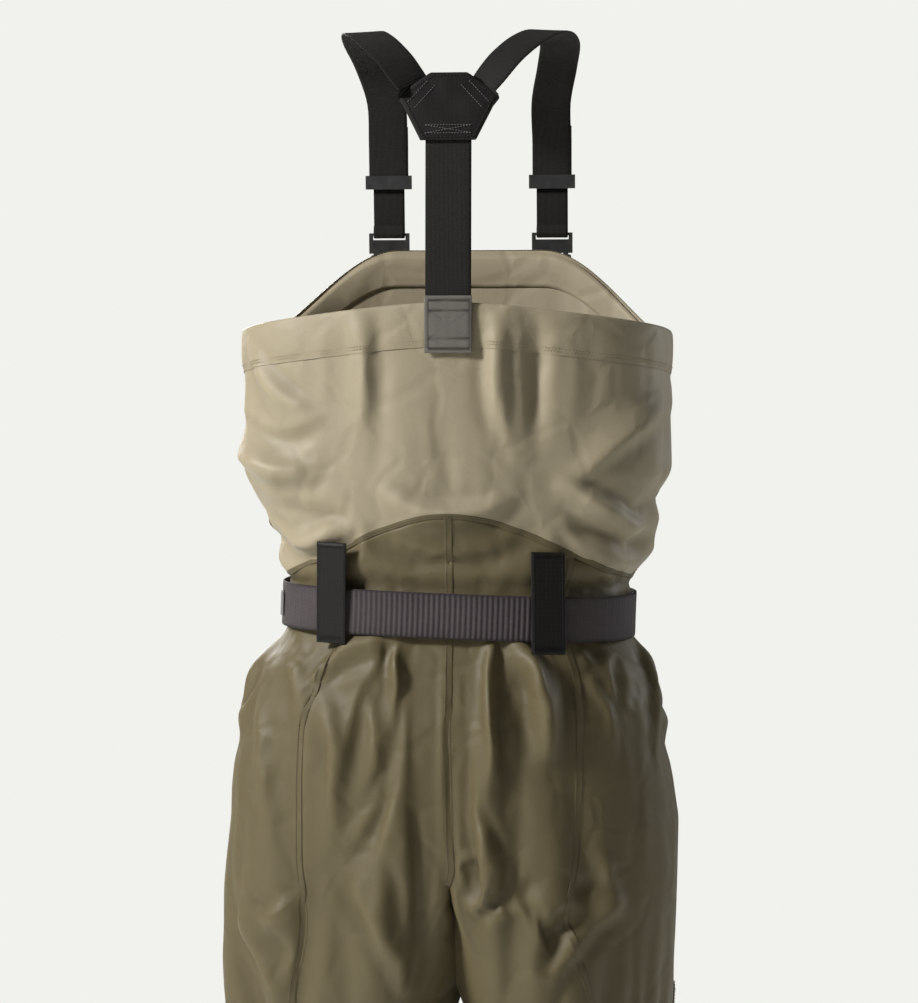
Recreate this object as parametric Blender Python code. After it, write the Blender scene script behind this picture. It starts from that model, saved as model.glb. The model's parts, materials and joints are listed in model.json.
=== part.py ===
"""Stocking-foot chest waders, standing in the shape they take when worn.

Metres, +Z up. The origin is on the floor midway between the feet. +X is the wearer's left
and -Y is the front. Every fabric panel is a solid sheet whose outer face follows one of two
body profiles: the torso, or a leg below the crotch.
"""
import math

import bmesh
import bpy
from mathutils import Matrix, Vector

# Heights above the floor
BELT_HEIGHT = 1.020
CROTCH_HEIGHT = 0.735
ANKLE_HEIGHT = 0.170
BACK_TOP = 1.360
SIDE_TOP = 1.330
FRONT_TOP = 1.430
COLOUR_SEAM = 1.056
COLOUR_ARCH = 0.076
YOKE_BOTTOM = 1.535
YOKE_TOP = 1.609

# Cloth and webbing
CLOTH = 0.0014
GAP = 0.0004
SEAM = 0.0004
HEM_DEPTH = 0.043
BELT_WIDTH = 0.050
WEBBING = 0.0022
BACK_STRAP_WIDTH = 0.050
SHOULDER_STRAP_WIDTH = 0.046
FRONT_WEBBING_WIDTH = 0.038
BELT_LOOP_WIDTH = 0.038
BELT_TILT = math.radians(-1.9)
REAR_SEAM = 0.73
STRAP_OUT = 0.097

# Torso outline: height, half width, half depth, centre y
TORSO = [
    (0.700, 0.254, 0.138, 0.010),
    (0.805, 0.252, 0.146, 0.012),
    (0.900, 0.244, 0.148, 0.012),
    (0.955, 0.232, 0.140, 0.008),
    (0.995, 0.189, 0.126, 0.004),
    (1.047, 0.189, 0.126, 0.004),
    (1.085, 0.205, 0.132, 0.004),
    (1.142, 0.222, 0.138, 0.002),
    (1.180, 0.240, 0.142, 0.000),
    (1.440, 0.239, 0.142, 0.000),
]
# Leg outline: height, centre x, half width, half depth, centre y
LEG = [
    (0.165, 0.128, 0.066, 0.078, 0.014),
    (0.330, 0.130, 0.088, 0.098, 0.014),
    (0.500, 0.125, 0.106, 0.110, 0.006),
    (0.600, 0.127, 0.123, 0.126, 0.008),
    (0.740, 0.127, 0.125, 0.138, 0.010),
]
TORSO_SQUARENESS = 2.5
LEG_SQUARENESS = 2.2
GUSSET_HALF_WIDTH = 0.032
# Heights where the lower shell bends between the belt and the crotch
HIP_ROWS = (1.046, 0.990, 0.972, 0.955, 0.915, 0.845)

COLOURS = {
    "bib_shell": ((0.52, 0.46, 0.33), 0.55, 0.0),
    "leg_shell": ((0.19, 0.155, 0.095), 0.50, 0.0),
    "reinforced_shell": ((0.12, 0.10, 0.065), 0.60, 0.0),
    "belt_webbing": ((0.075, 0.065, 0.068), 0.75, 0.0),
    "black_webbing": ((0.025, 0.024, 0.024), 0.80, 0.0),
    "yoke_fabric": ((0.012, 0.011, 0.011), 0.60, 0.0),
    "grey_webbing": ((0.20, 0.19, 0.18), 0.80, 0.0),
    "buckle_plastic": ((0.020, 0.020, 0.021), 0.45, 0.0),
    "neoprene": ((0.045, 0.045, 0.048), 0.85, 0.0),
    "spring_steel": ((0.60, 0.60, 0.60), 0.35, 1.0),
    "hook_metal": ((0.45, 0.45, 0.46), 0.35, 1.0),
    "label_fabric": ((0.30, 0.30, 0.32), 0.80, 0.0),
}


def clear_scene():
    for thing in list(bpy.data.objects):
        bpy.data.objects.remove(thing, do_unlink=True)


def material(slot):
    found = bpy.data.materials.get(slot)
    if found:
        return found
    colour, roughness, metallic = COLOURS[slot]
    made = bpy.data.materials.new(slot)
    made.use_nodes = True
    shader = made.node_tree.nodes["Principled BSDF"]
    shader.inputs["Base Color"].default_value = (*colour, 1.0)
    shader.inputs["Roughness"].default_value = roughness
    shader.inputs["Metallic"].default_value = metallic
    return made


def make_object(name, points, faces, slot, smooth=True):
    mesh = bpy.data.meshes.new(name)
    mesh.from_pydata([tuple(p) for p in points], [], faces)
    mesh.materials.append(material(slot))
    if smooth:
        mesh.shade_smooth()
        mesh.set_sharp_from_angle(angle=math.radians(40))
    made = bpy.data.objects.new(name, mesh)
    bpy.context.scene.collection.objects.link(made)
    return made


# ---------------------------------------------------------------- body profiles

def station(stations, height):
    """Values at a height, eased smoothly between the stations on either side."""
    if height <= stations[0][0]:
        return stations[0][1:]
    for low, high in zip(stations, stations[1:]):
        if height <= high[0]:
            share = (height - low[0]) / (high[0] - low[0])
            share = share * share * (3 - 2 * share)
            return [a + (b - a) * share for a, b in zip(low[1:], high[1:])]
    return stations[-1][1:]


def rounded_radius(angle, half_width, half_depth, squareness):
    across = abs(math.cos(angle) / half_width) ** squareness
    along = abs(math.sin(angle) / half_depth) ** squareness
    return (across + along) ** (-1 / squareness)


def torso_point(height, angle, proud=0.0):
    """Point on the torso. Angle 0 is the wearer's left, 90 degrees the back."""
    half_width, half_depth, centre_y = station(TORSO, height)
    radius = rounded_radius(angle, half_width + proud, half_depth + proud, TORSO_SQUARENESS)
    return Vector((radius * math.cos(angle), centre_y + radius * math.sin(angle), height))


def torso_outward(height, angle):
    """Level direction square to the torso's surface."""
    ahead, behind = torso_point(height, angle + 0.01), torso_point(height, angle - 0.01)
    return (ahead - behind).cross(Vector((0, 0, 1))).normalized()


def leg_point(height, turn, proud=0.0):
    """Point on the left leg. Turn 0 to 1 runs from centre front round the outside to
    centre back; 1 to 1.5 and -0.5 to 0 are the back and front of the inner thigh."""
    centre_x, half_width, half_depth, centre_y = station(LEG, height)
    beyond = max(turn - 1, 0.0) + min(turn, 0.0)
    angle = math.radians(-120 + 240 * (turn - beyond) + 120 * beyond)
    radius = rounded_radius(angle, half_width + proud, half_depth + proud, LEG_SQUARENESS)
    loop = Vector((centre_x + radius * math.cos(angle), centre_y + radius * math.sin(angle), height))
    joined = min(max((height - (CROTCH_HEIGHT - 0.16)) / 0.16, 0.0), 1.0)
    joined = joined * joined * (3 - 2 * joined)
    if joined == 0.0:
        return loop
    if 0 <= turn <= 1:
        hip = torso_point(height, math.radians(-90 + 180 * turn), proud)
        hip.x = max(hip.x, SEAM)
    else:
        inward = turn - 1 if turn > 1 else -turn
        edge = torso_point(height, math.radians(90 if turn > 1 else -90), proud)
        middle = station(TORSO, height)[2]
        hip = Vector((SEAM + GUSSET_HALF_WIDTH * math.sin(math.pi * inward), edge.y, height))
        hip.y += (middle - edge.y) * min(inward * 2, 1.0)
    return loop.lerp(hip, joined)


def steps(first, last, count):
    return [first + (last - first) * i / count for i in range(count + 1)]


# ---------------------------------------------------------------- solid builders

def sheet(name, slot, rows, thickness=CLOTH, closed=False):
    """Closed solid from rows of outer-face points, top row first, thickened inwards.
    A place with no cloth is None. Each row runs counter-clockwise seen from above."""
    index = {}
    points = []
    for r, row in enumerate(rows):
        for c, point in enumerate(row):
            if point is not None:
                index[r, c] = len(points)
                points.append(point)
    faces = []
    columns = len(rows[0])
    for r in range(len(rows) - 1):
        for c in range(columns if closed else columns - 1):
            after = (c + 1) % columns
            corners = [(r, c), (r + 1, c), (r + 1, after), (r, after)]
            if all(corner in index for corner in corners):
                faces.append([index[corner] for corner in corners])
    used = sorted({i for face in faces for i in face})
    number = {old: new for new, old in enumerate(used)}
    made = make_object(name, [points[i] for i in used],
                       [[number[i] for i in face] for face in faces], slot)
    thicken = made.modifiers.new("cloth thickness", "SOLIDIFY")
    thicken.thickness = thickness
    thicken.offset = -1.0
    thicken.use_even_offset = True
    return made


def loft(name, slot, rings, cyclic=False, smooth=True):
    """Closed solid through rings of equal size. Open lofts get a cap at each end."""
    size = len(rings[0])
    points = [p for ring in rings for p in ring]
    faces = []
    for r in range(len(rings) if cyclic else len(rings) - 1):
        here, there = r * size, (r + 1) % len(rings) * size
        for c in range(size):
            d = (c + 1) % size
            faces.append([here + c, here + d, there + d, there + c])
    if not cyclic:
        faces.append(list(range(size))[::-1])
        faces.append([len(points) - size + c for c in range(size)])
    made = make_object(name, points, faces, slot, smooth)
    face_outwards(made.data)
    return made


def face_outwards(mesh):
    work = bmesh.new()
    work.from_mesh(mesh)
    bmesh.ops.recalc_face_normals(work, faces=work.faces)
    work.to_mesh(mesh)
    work.free()


def ribbon(name, slot, path, outwards, width, thickness=WEBBING, cyclic=False):
    """Flat webbing along a path, with its outer face towards the outward directions."""
    rings = []
    last = len(path) - 1
    for i, (point, out) in enumerate(zip(path, outwards)):
        before = path[(i - 1) % len(path)] if cyclic else path[max(i - 1, 0)]
        after = path[(i + 1) % len(path)] if cyclic else path[min(i + 1, last)]
        along = (after - before).normalized()
        side = along.cross(out).normalized() * width / 2
        up = side.cross(along).normalized() * thickness / 2
        rings.append([point - side - up, point + side - up, point + side + up, point - side + up])
    return loft(name, slot, rings, cyclic)


def plate(name, slot, outline, low, high, bevel=0.0):
    """Outline in the local XY plane, from local z low to high."""
    rings = [[Vector((x, y, z)) for x, y in outline] for z in (low, high)]
    made = loft(name, slot, rings, smooth=False)
    if bevel:
        edge = made.modifiers.new("edge", "BEVEL")
        edge.width = bevel
        edge.segments = 1
        edge.limit_method = "ANGLE"
    return made


def oblong(half_width, half_height):
    """Corners of a rectangle centred on its own origin."""
    return [(-half_width, -half_height), (half_width, -half_height), (half_width, half_height),
            (-half_width, half_height)]


def cut(target, low, high):
    """Cuts the box between two local corners out of the target."""
    corners = [(low[0], low[1]), (high[0], low[1]), (high[0], high[1]), (low[0], high[1])]
    cutter = plate(target.name + "_cutter", "buckle_plastic", corners, low[2], high[2])
    cutter.hide_render = True
    cutter.display_type = "WIRE"
    cutter.parent = target
    boolean = target.modifiers.new("cut", "BOOLEAN")
    boolean.operation = "DIFFERENCE"
    boolean.object = cutter


def smooth_path(keys, per_span):
    """Points on a Catmull-Rom curve through the keys."""
    padded = [keys[0] * 2 - keys[1], *keys, keys[-1] * 2 - keys[-2]]
    path = []
    for i in range(1, len(padded) - 2):
        a, b, c, d = padded[i - 1:i + 3]
        for k in range(per_span):
            t = k / per_span
            path.append(0.5 * (2 * b + (c - a) * t + (2 * a - 5 * b + 4 * c - d) * t * t
                               + (3 * b - a - 3 * c + d) * t ** 3))
    return path + [keys[-1].copy()]


def place(made, location, across, up, parent=None):
    """Stands a local shape with its X along across and its Y along up."""
    out = across.cross(up).normalized()
    made.matrix_world = Matrix.Translation(location) @ Matrix(
        (across.normalized(), up.normalized(), out)).transposed().to_4x4()
    if parent:
        made.parent = parent
    return made


# ---------------------------------------------------------------- bib

def bib_top(angle):
    """Height of the bib's edge: highest in front, lowest at the sides."""
    lift = math.sin(angle)
    if lift > 0:
        return SIDE_TOP + (BACK_TOP - SIDE_TOP) * lift ** 1.2
    share = min(max((-lift - 0.25) / 0.6, 0.0), 1.0)
    return SIDE_TOP + (FRONT_TOP - SIDE_TOP) * share * share * (3 - 2 * share)


def colour_seam(angle):
    """Height of the seam between bib and lower shell: an arch over the lower back."""
    return COLOUR_SEAM + COLOUR_ARCH * max(math.sin(angle), 0.0) ** 2


FACING_INSET = 0.0056
CORD_DROP = 0.012
CORD_RADIUS = 0.0013


def bib_panel(name, first, last):
    """Sheet between the colour seam and the edge, from one angle round to another."""
    angles = [math.radians(a) for a in steps(first, last, 18)]
    rows = []
    for share in steps(1.0, 0.0, 9):
        row = []
        for angle in angles:
            low = colour_seam(angle) + SEAM
            row.append(torso_point(low + (bib_top(angle) - low) * share, angle))
        rows.append(row)
    return sheet(name, "bib_shell", rows)


def make_bib():
    """Front and back panels, with the drawcord between them and the facing inside."""
    seam_turn = math.degrees(SEAM / 0.22)
    bib_panel("bib_back", seam_turn, 180 - seam_turn)
    bib_panel("bib_front", -180 + seam_turn, -seam_turn)
    angles = [math.radians(a) for a in steps(0, 355, 71)][::2]
    inside = -CLOTH - FACING_INSET
    rows = [[torso_point(bib_top(a) - drop, a, inside) for a in angles]
            for drop in (0.002, HEM_DEPTH)]
    sheet("hem_facing", "bib_shell", rows, 0.0012, closed=True)
    rings = []
    for angle in angles:
        centre = torso_point(bib_top(angle) - CORD_DROP, angle, -CLOTH - FACING_INSET / 2)
        out = Vector((math.cos(angle), math.sin(angle), 0))
        up = Vector((0, 0, 1))
        rings.append([centre + (out * math.cos(a) + up * math.sin(a)) * CORD_RADIUS
                      for a in steps(0, 2 * math.pi * 5 / 6, 5)])
    loft("hem_drawcord", "black_webbing", rings, cyclic=True)


# ---------------------------------------------------------------- lower shell and legs

def lower_panel(name, side, outer_turns, turns):
    """One lower panel from the colour seam to the ankle. Above the crotch only the outer
    turns have cloth; below it the panel also wraps its half of the inner thigh."""
    rows = []
    for height in (None, *HIP_ROWS):
        row = []
        for turn in turns:
            if turn in outer_turns:
                angle = math.radians(-90 + 180 * turn)
                point = torso_point(height or colour_seam(angle) - SEAM, angle)
                point.x = max(point.x, SEAM)
                row.append(point)
            else:
                row.append(None)
        rows.append(row)
    rows += [[leg_point(height, turn) for turn in turns] for height in LEG_ROWS]
    if side < 0:
        rows = [[None if p is None else Vector((-p.x, p.y, p.z)) for p in reversed(row)]
                for row in rows]
    return sheet(name, "leg_shell", rows)


LEG_ROWS = steps(CROTCH_HEIGHT, ANKLE_HEIGHT + GAP, 9)
SEAM_TRIM = 0.0012
FRONT_TURNS = steps(0.0, REAR_SEAM - SEAM_TRIM, 11)


def make_lower_shell():
    back_outer = steps(REAR_SEAM + SEAM_TRIM, 1.0, 5)
    back_inner = steps(1.0, 1.5 - SEAM_TRIM, 4)[1:]
    front_inner = steps(-0.5 + SEAM_TRIM, 0.0, 4)[:-1]
    for label, side in (("left", 1), ("right", -1)):
        lower_panel("leg_back_" + label, side, back_outer, back_outer + back_inner)
        lower_panel("leg_front_" + label, side, FRONT_TURNS, front_inner + FRONT_TURNS)


def make_gusset():
    """Diamond of cloth that closes the crotch between the two legs."""
    middle = station(TORSO, CROTCH_HEIGHT)[2]
    depth = station(TORSO, CROTCH_HEIGHT)[1] - 0.006
    rows = []
    for share in steps(-0.94, 0.94, 10):
        half = GUSSET_HALF_WIDTH * math.sin(math.pi / 2 * (1 - abs(share))) - GAP
        rows.append([Vector((half * s, middle + depth * share, CROTCH_HEIGHT - 0.001))
                     for s in (1, 0, -1)])
    sheet("crotch_gusset", "leg_shell", rows, CLOTH)


PATCH_PROUD = 0.0030


def make_knee_patches():
    """Tougher cloth over the front of each knee and shin."""
    for label, side in (("left", 1), ("right", -1)):
        rows = [[leg_point(height, turn, PATCH_PROUD) for turn in FRONT_TURNS[:7]]
                for height in LEG_ROWS[2:7]]
        if side < 0:
            rows = [[Vector((-p.x, p.y, p.z)) for p in reversed(row)] for row in rows]
        sheet("knee_patch_" + label, "reinforced_shell", rows, 0.0012)


# ---------------------------------------------------------------- feet

# Side profile of the neoprene foot: upper end y, z, lower end y, z, half width
FOOT = [
    (-0.064, 0.1697, 0.092, 0.1697, 0.066),
    (-0.050, 0.130, 0.084, 0.130, 0.054),
    (-0.052, 0.106, 0.087, 0.085, 0.046),
    (-0.060, 0.096, 0.094, 0.042, 0.043),
    (-0.072, 0.089, 0.080, 0.000, 0.042),
    (-0.090, 0.081, 0.030, -0.008, 0.041),
    (-0.112, 0.073, -0.050, -0.008, 0.046),
    (-0.140, 0.062, -0.110, -0.008, 0.052),
    (-0.170, 0.049, -0.160, -0.006, 0.049),
    (-0.192, 0.036, -0.190, 0.000, 0.036),
    (-0.202, 0.022, -0.202, 0.010, 0.012),
]
NEOPRENE = 0.005
FOOT_SIDES = 16
FOOT_SQUARENESS = 2.4
# Gravel guard: where it leaves the shin, and its hem's half width, half depth and height
GUARD_TOP = 0.225
GUARD_PROUD = 0.0035
GUARD_HEM = (0.080, 0.096, 0.100)
GUARD_HEM_SLOPE = 0.034
GUARD_FRONT_Y = -0.0835
GUARD_FRONT_Z = 0.138


def foot_rings(side, inset):
    rings = []
    for upper_y, upper_z, lower_y, lower_z, half_width in FOOT:
        upper = Vector((0, upper_y, upper_z))
        lower = Vector((0, lower_y, lower_z))
        axis = (lower - upper).normalized()
        centre = (upper + lower) / 2
        reach = max((lower - upper).length / 2 - inset, 0.002)
        ring = []
        for angle in steps(0, 2 * math.pi * (1 - 1 / FOOT_SIDES), FOOT_SIDES - 1):
            radius = rounded_radius(angle, max(half_width - inset, 0.004), reach, FOOT_SQUARENESS)
            point = centre + axis * radius * math.sin(angle)
            point.x = radius * math.cos(angle)
            point.z = max(point.z, inset)
            if inset and rings == []:
                point.z = upper_z
            if inset and half_width < 0.02:
                point.y += inset
            ring.append(point + Vector((side * LEG[0][1], 0, 0)))
        rings.append(ring)
    return rings


def make_bootie(label, side):
    """Neoprene sock foot: an outer and an inner skin joined by a rim at the ankle."""
    outer, inner = foot_rings(side, 0.0), foot_rings(side, NEOPRENE)
    loft("bootie_" + label, "neoprene", outer[::-1] + inner)


def make_gravel_guard(label, side):
    """Short gaiter that hangs from the shin and flares over the ankle."""
    centre_x, half_width, half_depth, centre_y = station(LEG, GUARD_TOP)
    hem_width, hem_depth, hem_height = GUARD_HEM
    rows = []
    for share in steps(0.0, 1.0, 4):
        row = []
        for angle in steps(0, 2 * math.pi * 23 / 24, 23):
            top = rounded_radius(angle, half_width + GUARD_PROUD, half_depth + GUARD_PROUD,
                                 LEG_SQUARENESS)
            hem = rounded_radius(angle, hem_width, hem_depth, LEG_SQUARENESS)
            radius = top + (hem - top) * share
            low = hem_height - GUARD_HEM_SLOPE * math.sin(angle)
            height = GUARD_TOP + (low - GUARD_TOP) * share
            row.append(Vector((side * centre_x + radius * math.cos(angle),
                               centre_y + radius * math.sin(angle), height)))
        rows.append(row)
    sheet("gravel_guard_" + label, "reinforced_shell", rows, 0.0016, closed=True)


def make_guard_hook(label, side):
    """Lace hook hanging from a small pivot at the front of the guard's hem."""
    centre = Vector((side * LEG[0][1], GUARD_FRONT_Y - 0.0045, GUARD_FRONT_Z))
    outline = [(-0.007, 0.004), (0.007, 0.004), (0.007, -0.004), (0.003, -0.008), (0.003, -0.020),
               (-0.003, -0.020), (-0.003, -0.008), (-0.007, -0.004)]
    hook = plate("gravel_hook_" + label, "hook_metal", outline, -0.0008, 0.0008)
    place(hook, centre, Vector((1, 0, 0)), Vector((0, 0, 1)))
    tab = [(-0.011, -0.003), (0.011, -0.003), (0.011, 0.020), (-0.011, 0.020)]
    anchor = plate("hook_tab_" + label, "black_webbing", tab, -0.0009, 0.0009)
    place(anchor, centre + Vector((0, 0.0022, 0)), Vector((1, 0, 0)), Vector((0, 0.10, 1)))


def make_feet():
    for label, side in (("left", 1), ("right", -1)):
        make_bootie(label, side)
        make_gravel_guard(label, side)
        make_guard_hook(label, side)


# ---------------------------------------------------------------- buckles

# Local frame of a buckle: X across the webbing, Y towards the withdrawn prongs, Z outwards
BUCKLE_DEPTH = 0.0095


def buckle_socket(name, webbing):
    """Female half: a flat sleeve open at its top, side windows, and a bar for webbing."""
    half = webbing / 2 + 0.005
    outline = [(-half, -0.012), (half, -0.012), (half + 0.001, 0.010), (half - 0.002, 0.034),
               (-half + 0.002, 0.034), (-half - 0.001, 0.010)]
    socket = plate(name, "buckle_plastic", outline, -BUCKLE_DEPTH / 2, BUCKLE_DEPTH / 2, 0.0012)
    room = webbing / 2 + 0.0005
    cut(socket, (-room, 0.004, -0.0027), (room, 0.040, 0.0027))
    cut(socket, (-half - 0.01, 0.010, -0.0027), (half + 0.01, 0.024, 0.0027))
    cut(socket, (-webbing / 2 - 0.0005, -0.0070, -0.01), (webbing / 2 + 0.0005, -0.0010, 0.01))
    return socket


def buckle_prong(name, webbing):
    """Male half: two sprung side arms, a centre guide and a crossbar for the webbing."""
    arm = webbing / 2
    outline = [(-arm, 0.036), (-arm, 0.010), (-arm + 0.006, 0.006), (-arm + 0.006, 0.036),
               (-0.004, 0.036), (-0.004, 0.008), (0.004, 0.008), (0.004, 0.036),
               (arm - 0.006, 0.036), (arm - 0.006, 0.006), (arm, 0.010), (arm, 0.036),
               (arm + 0.005, 0.036), (arm + 0.005, 0.060), (-arm - 0.005, 0.060),
               (-arm - 0.005, 0.036)]
    prong = plate(name, "buckle_plastic", outline, -0.0022, 0.0022)
    cut(prong, (-arm - 0.0005, 0.0520, -0.01), (arm + 0.0005, 0.0570, 0.01))
    return prong


# ---------------------------------------------------------------- suspenders

CHEST_SLOPE = Vector((0, 0.10, 1.0)).normalized()
CHEST_OUT = Vector((0, -1.0, 0.10)).normalized()
SOCKET_BASE = Vector((STRAP_OUT, -0.1530, 1.392))


def chest(distance, out=0.0, side=1):
    """Point on the straight front run of a strap, measured up from the socket."""
    point = SOCKET_BASE + CHEST_SLOPE * distance + CHEST_OUT * out
    return Vector((side * point.x, point.y, point.z))


def shoulder_strap(label, side):
    """Elastic webbing from the yoke over the shoulder and down to its adjuster."""
    end = chest(0.120, -0.0010)
    keys = [Vector((0.0430, 0.1368, 1.5900)), Vector((0.058, 0.130, 1.609)),
            Vector((0.082, 0.102, 1.642)), Vector((STRAP_OUT + 0.007, 0.050, 1.664)),
            Vector((STRAP_OUT + 0.015, -0.020, 1.661)),
            Vector((STRAP_OUT + 0.009, -0.082, 1.640)), chest(0.212, -0.0130),
            chest(0.165, -0.0014), end]
    path = smooth_path(keys, 4)
    centre = Vector((0.10, 0.0, 1.45))
    outwards = [p - centre for p in path]
    outwards[-5:] = [CHEST_OUT.copy()] * 5
    outwards[0] = outwards[1] = Vector((0, 1.0, 0.12))
    path = [Vector((side * p.x, p.y, p.z)) for p in path]
    outwards = [Vector((side * o.x, o.y, o.z)) for o in outwards]
    ribbon("shoulder_strap_" + label, "black_webbing", path, outwards, SHOULDER_STRAP_WIDTH)


def make_shoulder_hardware(label, side):
    across = Vector((1, 0, 0))
    place(buckle_socket("shoulder_socket_" + label, FRONT_WEBBING_WIDTH), chest(0, 0, side),
          across, CHEST_SLOPE)
    prong = buckle_prong("shoulder_prong_" + label, FRONT_WEBBING_WIDTH)
    place(prong, chest(0, 0, side), across, CHEST_SLOPE)
    webbing = [chest(0.0615, 0.0032, side), chest(0.090, 0.0032, side), chest(0.148, 0.0032, side)]
    ribbon("front_webbing_" + label, "black_webbing", webbing, [CHEST_OUT] * 3,
           FRONT_WEBBING_WIDTH - 0.001, 0.0018)
    half = SHOULDER_STRAP_WIDTH / 2
    frame = plate("strap_adjuster_" + label, "buckle_plastic",
                  [(-half - 0.004, 0.112), (half + 0.004, 0.112), (half + 0.004, 0.128),
                   (-half - 0.004, 0.128)], -0.0046, 0.0070)
    cut(frame, (-half - 0.0005, 0.10, -0.0026), (half + 0.0005, 0.14, 0.0046))
    place(frame, chest(0, 0, side), across, CHEST_SLOPE)
    tab = [chest(-0.0105 - d, -0.0058, side) for d in (0.062, 0.030, 0.0)]
    ribbon("socket_tab_" + label, "black_webbing", tab, [CHEST_OUT] * 3, FRONT_WEBBING_WIDTH, 0.0016)


def make_suspenders():
    back_y = torso_point(BACK_TOP, math.pi / 2).y
    keys = [Vector((0, back_y + 0.0022, BACK_TOP - 0.052)),
            Vector((0, back_y + 0.0022, BACK_TOP - 0.003)),
            Vector((0, back_y + 0.0030, BACK_TOP + 0.060)),
            Vector((0, back_y - 0.0010, YOKE_BOTTOM + 0.004))]
    path = smooth_path(keys, 4)
    ribbon("back_strap", "black_webbing", path, [Vector((0, 1, 0))] * len(path), BACK_STRAP_WIDTH)
    anchor = [(-0.026, 0.0), (0.026, 0.0), (0.026, 0.062), (-0.026, 0.062)]
    place(plate("back_anchor_patch", "grey_webbing", anchor, 0.0, 0.0012),
          Vector((0, back_y + 0.0048, BACK_TOP - 0.054)), Vector((-1, 0, 0)), Vector((0, 0, 1)))
    yoke_up = Vector((0, -0.10, 1.0)).normalized()
    height = YOKE_TOP - YOKE_BOTTOM
    outline = [(-0.030, 0.0), (0.030, 0.0), (0.055, 0.050), (0.018, height), (-0.018, height),
               (-0.055, 0.050)]
    for name, out, size in (("yoke_patch", 0.0040, 1.0), ("yoke_backing", -0.0030, 0.66)):
        patch = plate(name, "yoke_fabric", [(x * size, y * size) for x, y in outline], 0.0, 0.0012)
        place(patch, Vector((0, back_y - 0.0010 + out, YOKE_BOTTOM)), Vector((-1, 0, 0)), yoke_up)
    for label, side in (("left", 1), ("right", -1)):
        shoulder_strap(label, side)
        make_shoulder_hardware(label, side)


# ---------------------------------------------------------------- belt

BELT_PROUD = 0.0105
BELT_FLAT = 0.090
BELT_FRONT = -0.1345
# The loops: directions round the body, reach above and below the belt's middle, and the
# distance they stand off the body, which grows with the rise above the belt
LEFT_LOOP_ANGLE = math.radians(40.5)
RIGHT_LOOP_ANGLE = math.radians(132)
FRONT_LOOP_ANGLE = math.radians(-38)
BACK_LOOP_RISE = 0.073
FRONT_LOOP_RISE = 0.048
BACK_LOOP_DROP = 0.037
LOOP_PROUD = 0.0150
LOOP_LEAN = 0.30
LOOP_THICKNESS = 0.0020
LABEL_ANGLE = math.radians(14)


def belt_point(angle, proud):
    point = torso_point(BELT_HEIGHT, angle, proud)
    point.z = 0.0
    if point.y < 0 and abs(point.x) < BELT_FLAT:
        point.y = min(point.y, BELT_FRONT)
    return point


def belt_empty():
    tilt = bpy.data.objects.new("belt_tilt", None)
    bpy.context.scene.collection.objects.link(tilt)
    tilt.location = (0, 0, BELT_HEIGHT)
    tilt.rotation_euler = (0, BELT_TILT, 0)
    return tilt


def belt_band(tilt):
    """The webbing runs from the buckle's socket round the back to the prong half."""
    angles = [math.radians(a) for a in steps(-68, 248, 46)]
    path = [belt_point(a, BELT_PROUD) for a in angles]
    path = [p for p in path if abs(p.x) > BELT_FLAT * 0.7 or p.y > 0]
    path = [Vector((0.018, BELT_FRONT, 0)), *path, Vector((-0.020, BELT_FRONT, 0))]
    outwards = []
    for i, point in enumerate(path):
        before, after = path[max(i - 1, 0)], path[min(i + 1, len(path) - 1)]
        outwards.append((after - before).cross(Vector((0, 0, 1))))
    ribbon("belt", "belt_webbing", path, outwards, BELT_WIDTH).parent = tilt


def belt_hardware(tilt):
    upward = Vector((0, 0, 1))
    along = Vector((-1, 0, 0))
    front = BELT_FRONT - WEBBING / 2 - GAP - BUCKLE_DEPTH / 2 - 0.0003
    origin = Vector((0.022, front, 0))
    place(buckle_socket("belt_socket", BELT_WIDTH), origin, upward, along, tilt)
    place(buckle_prong("belt_prong", BELT_WIDTH), origin, upward, along, tilt)
    half = BELT_WIDTH / 2
    keeper = plate("belt_keeper", "black_webbing", oblong(half + 0.003, 0.009), -0.0030, 0.0030)
    cut(keeper, (-half - 0.0006, -0.02, -0.0016), (half + 0.0006, 0.02, 0.0016))
    place(keeper, Vector((0.058, BELT_FRONT, 0)), upward, along, tilt)


def belt_loop(name, angle, rise, drop, tilt):
    """Fabric strap sewn above and below the belt, standing clear of it in between."""
    def at(proud, z):
        point = torso_point(BELT_HEIGHT, angle, proud)
        return Vector((point.x, point.y, z))
    top = LOOP_PROUD + max(rise - BELT_WIDTH, 0.0) * LOOP_LEAN
    edge = BELT_WIDTH / 2 + 0.002
    path = [at(top, rise), at(LOOP_PROUD, edge), at(LOOP_PROUD, 0.0), at(LOOP_PROUD, -edge),
            at(LOOP_PROUD + 0.0015, -drop)]
    outwards = [torso_outward(BELT_HEIGHT, angle)] * len(path)
    ribbon(name, "yoke_fabric", path, outwards, BELT_LOOP_WIDTH, LOOP_THICKNESS).parent = tilt


def make_belt():
    tilt = belt_empty()
    belt_band(tilt)
    belt_hardware(tilt)
    belt_loop("belt_loop_back_left", LEFT_LOOP_ANGLE, BACK_LOOP_RISE, BACK_LOOP_DROP, tilt)
    belt_loop("belt_loop_back_right", RIGHT_LOOP_ANGLE, BACK_LOOP_RISE, BACK_LOOP_DROP, tilt)
    belt_loop("belt_loop_front_left", FRONT_LOOP_ANGLE, FRONT_LOOP_RISE, BACK_LOOP_DROP, tilt)
    belt_loop("belt_loop_front_right", math.pi - FRONT_LOOP_ANGLE, FRONT_LOOP_RISE, BACK_LOOP_DROP,
              tilt)
    angle = LABEL_ANGLE
    out = torso_outward(BELT_HEIGHT, angle)
    side = belt_point(angle, BELT_PROUD) + out * 0.0028
    label = plate("belt_label", "label_fabric", oblong(0.006, 0.014), 0.0, 0.0008)
    place(label, side, Vector((0, 0, 1)).cross(out), Vector((0, 0, 1)), tilt)


# ---------------------------------------------------------------- chest pocket

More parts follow.
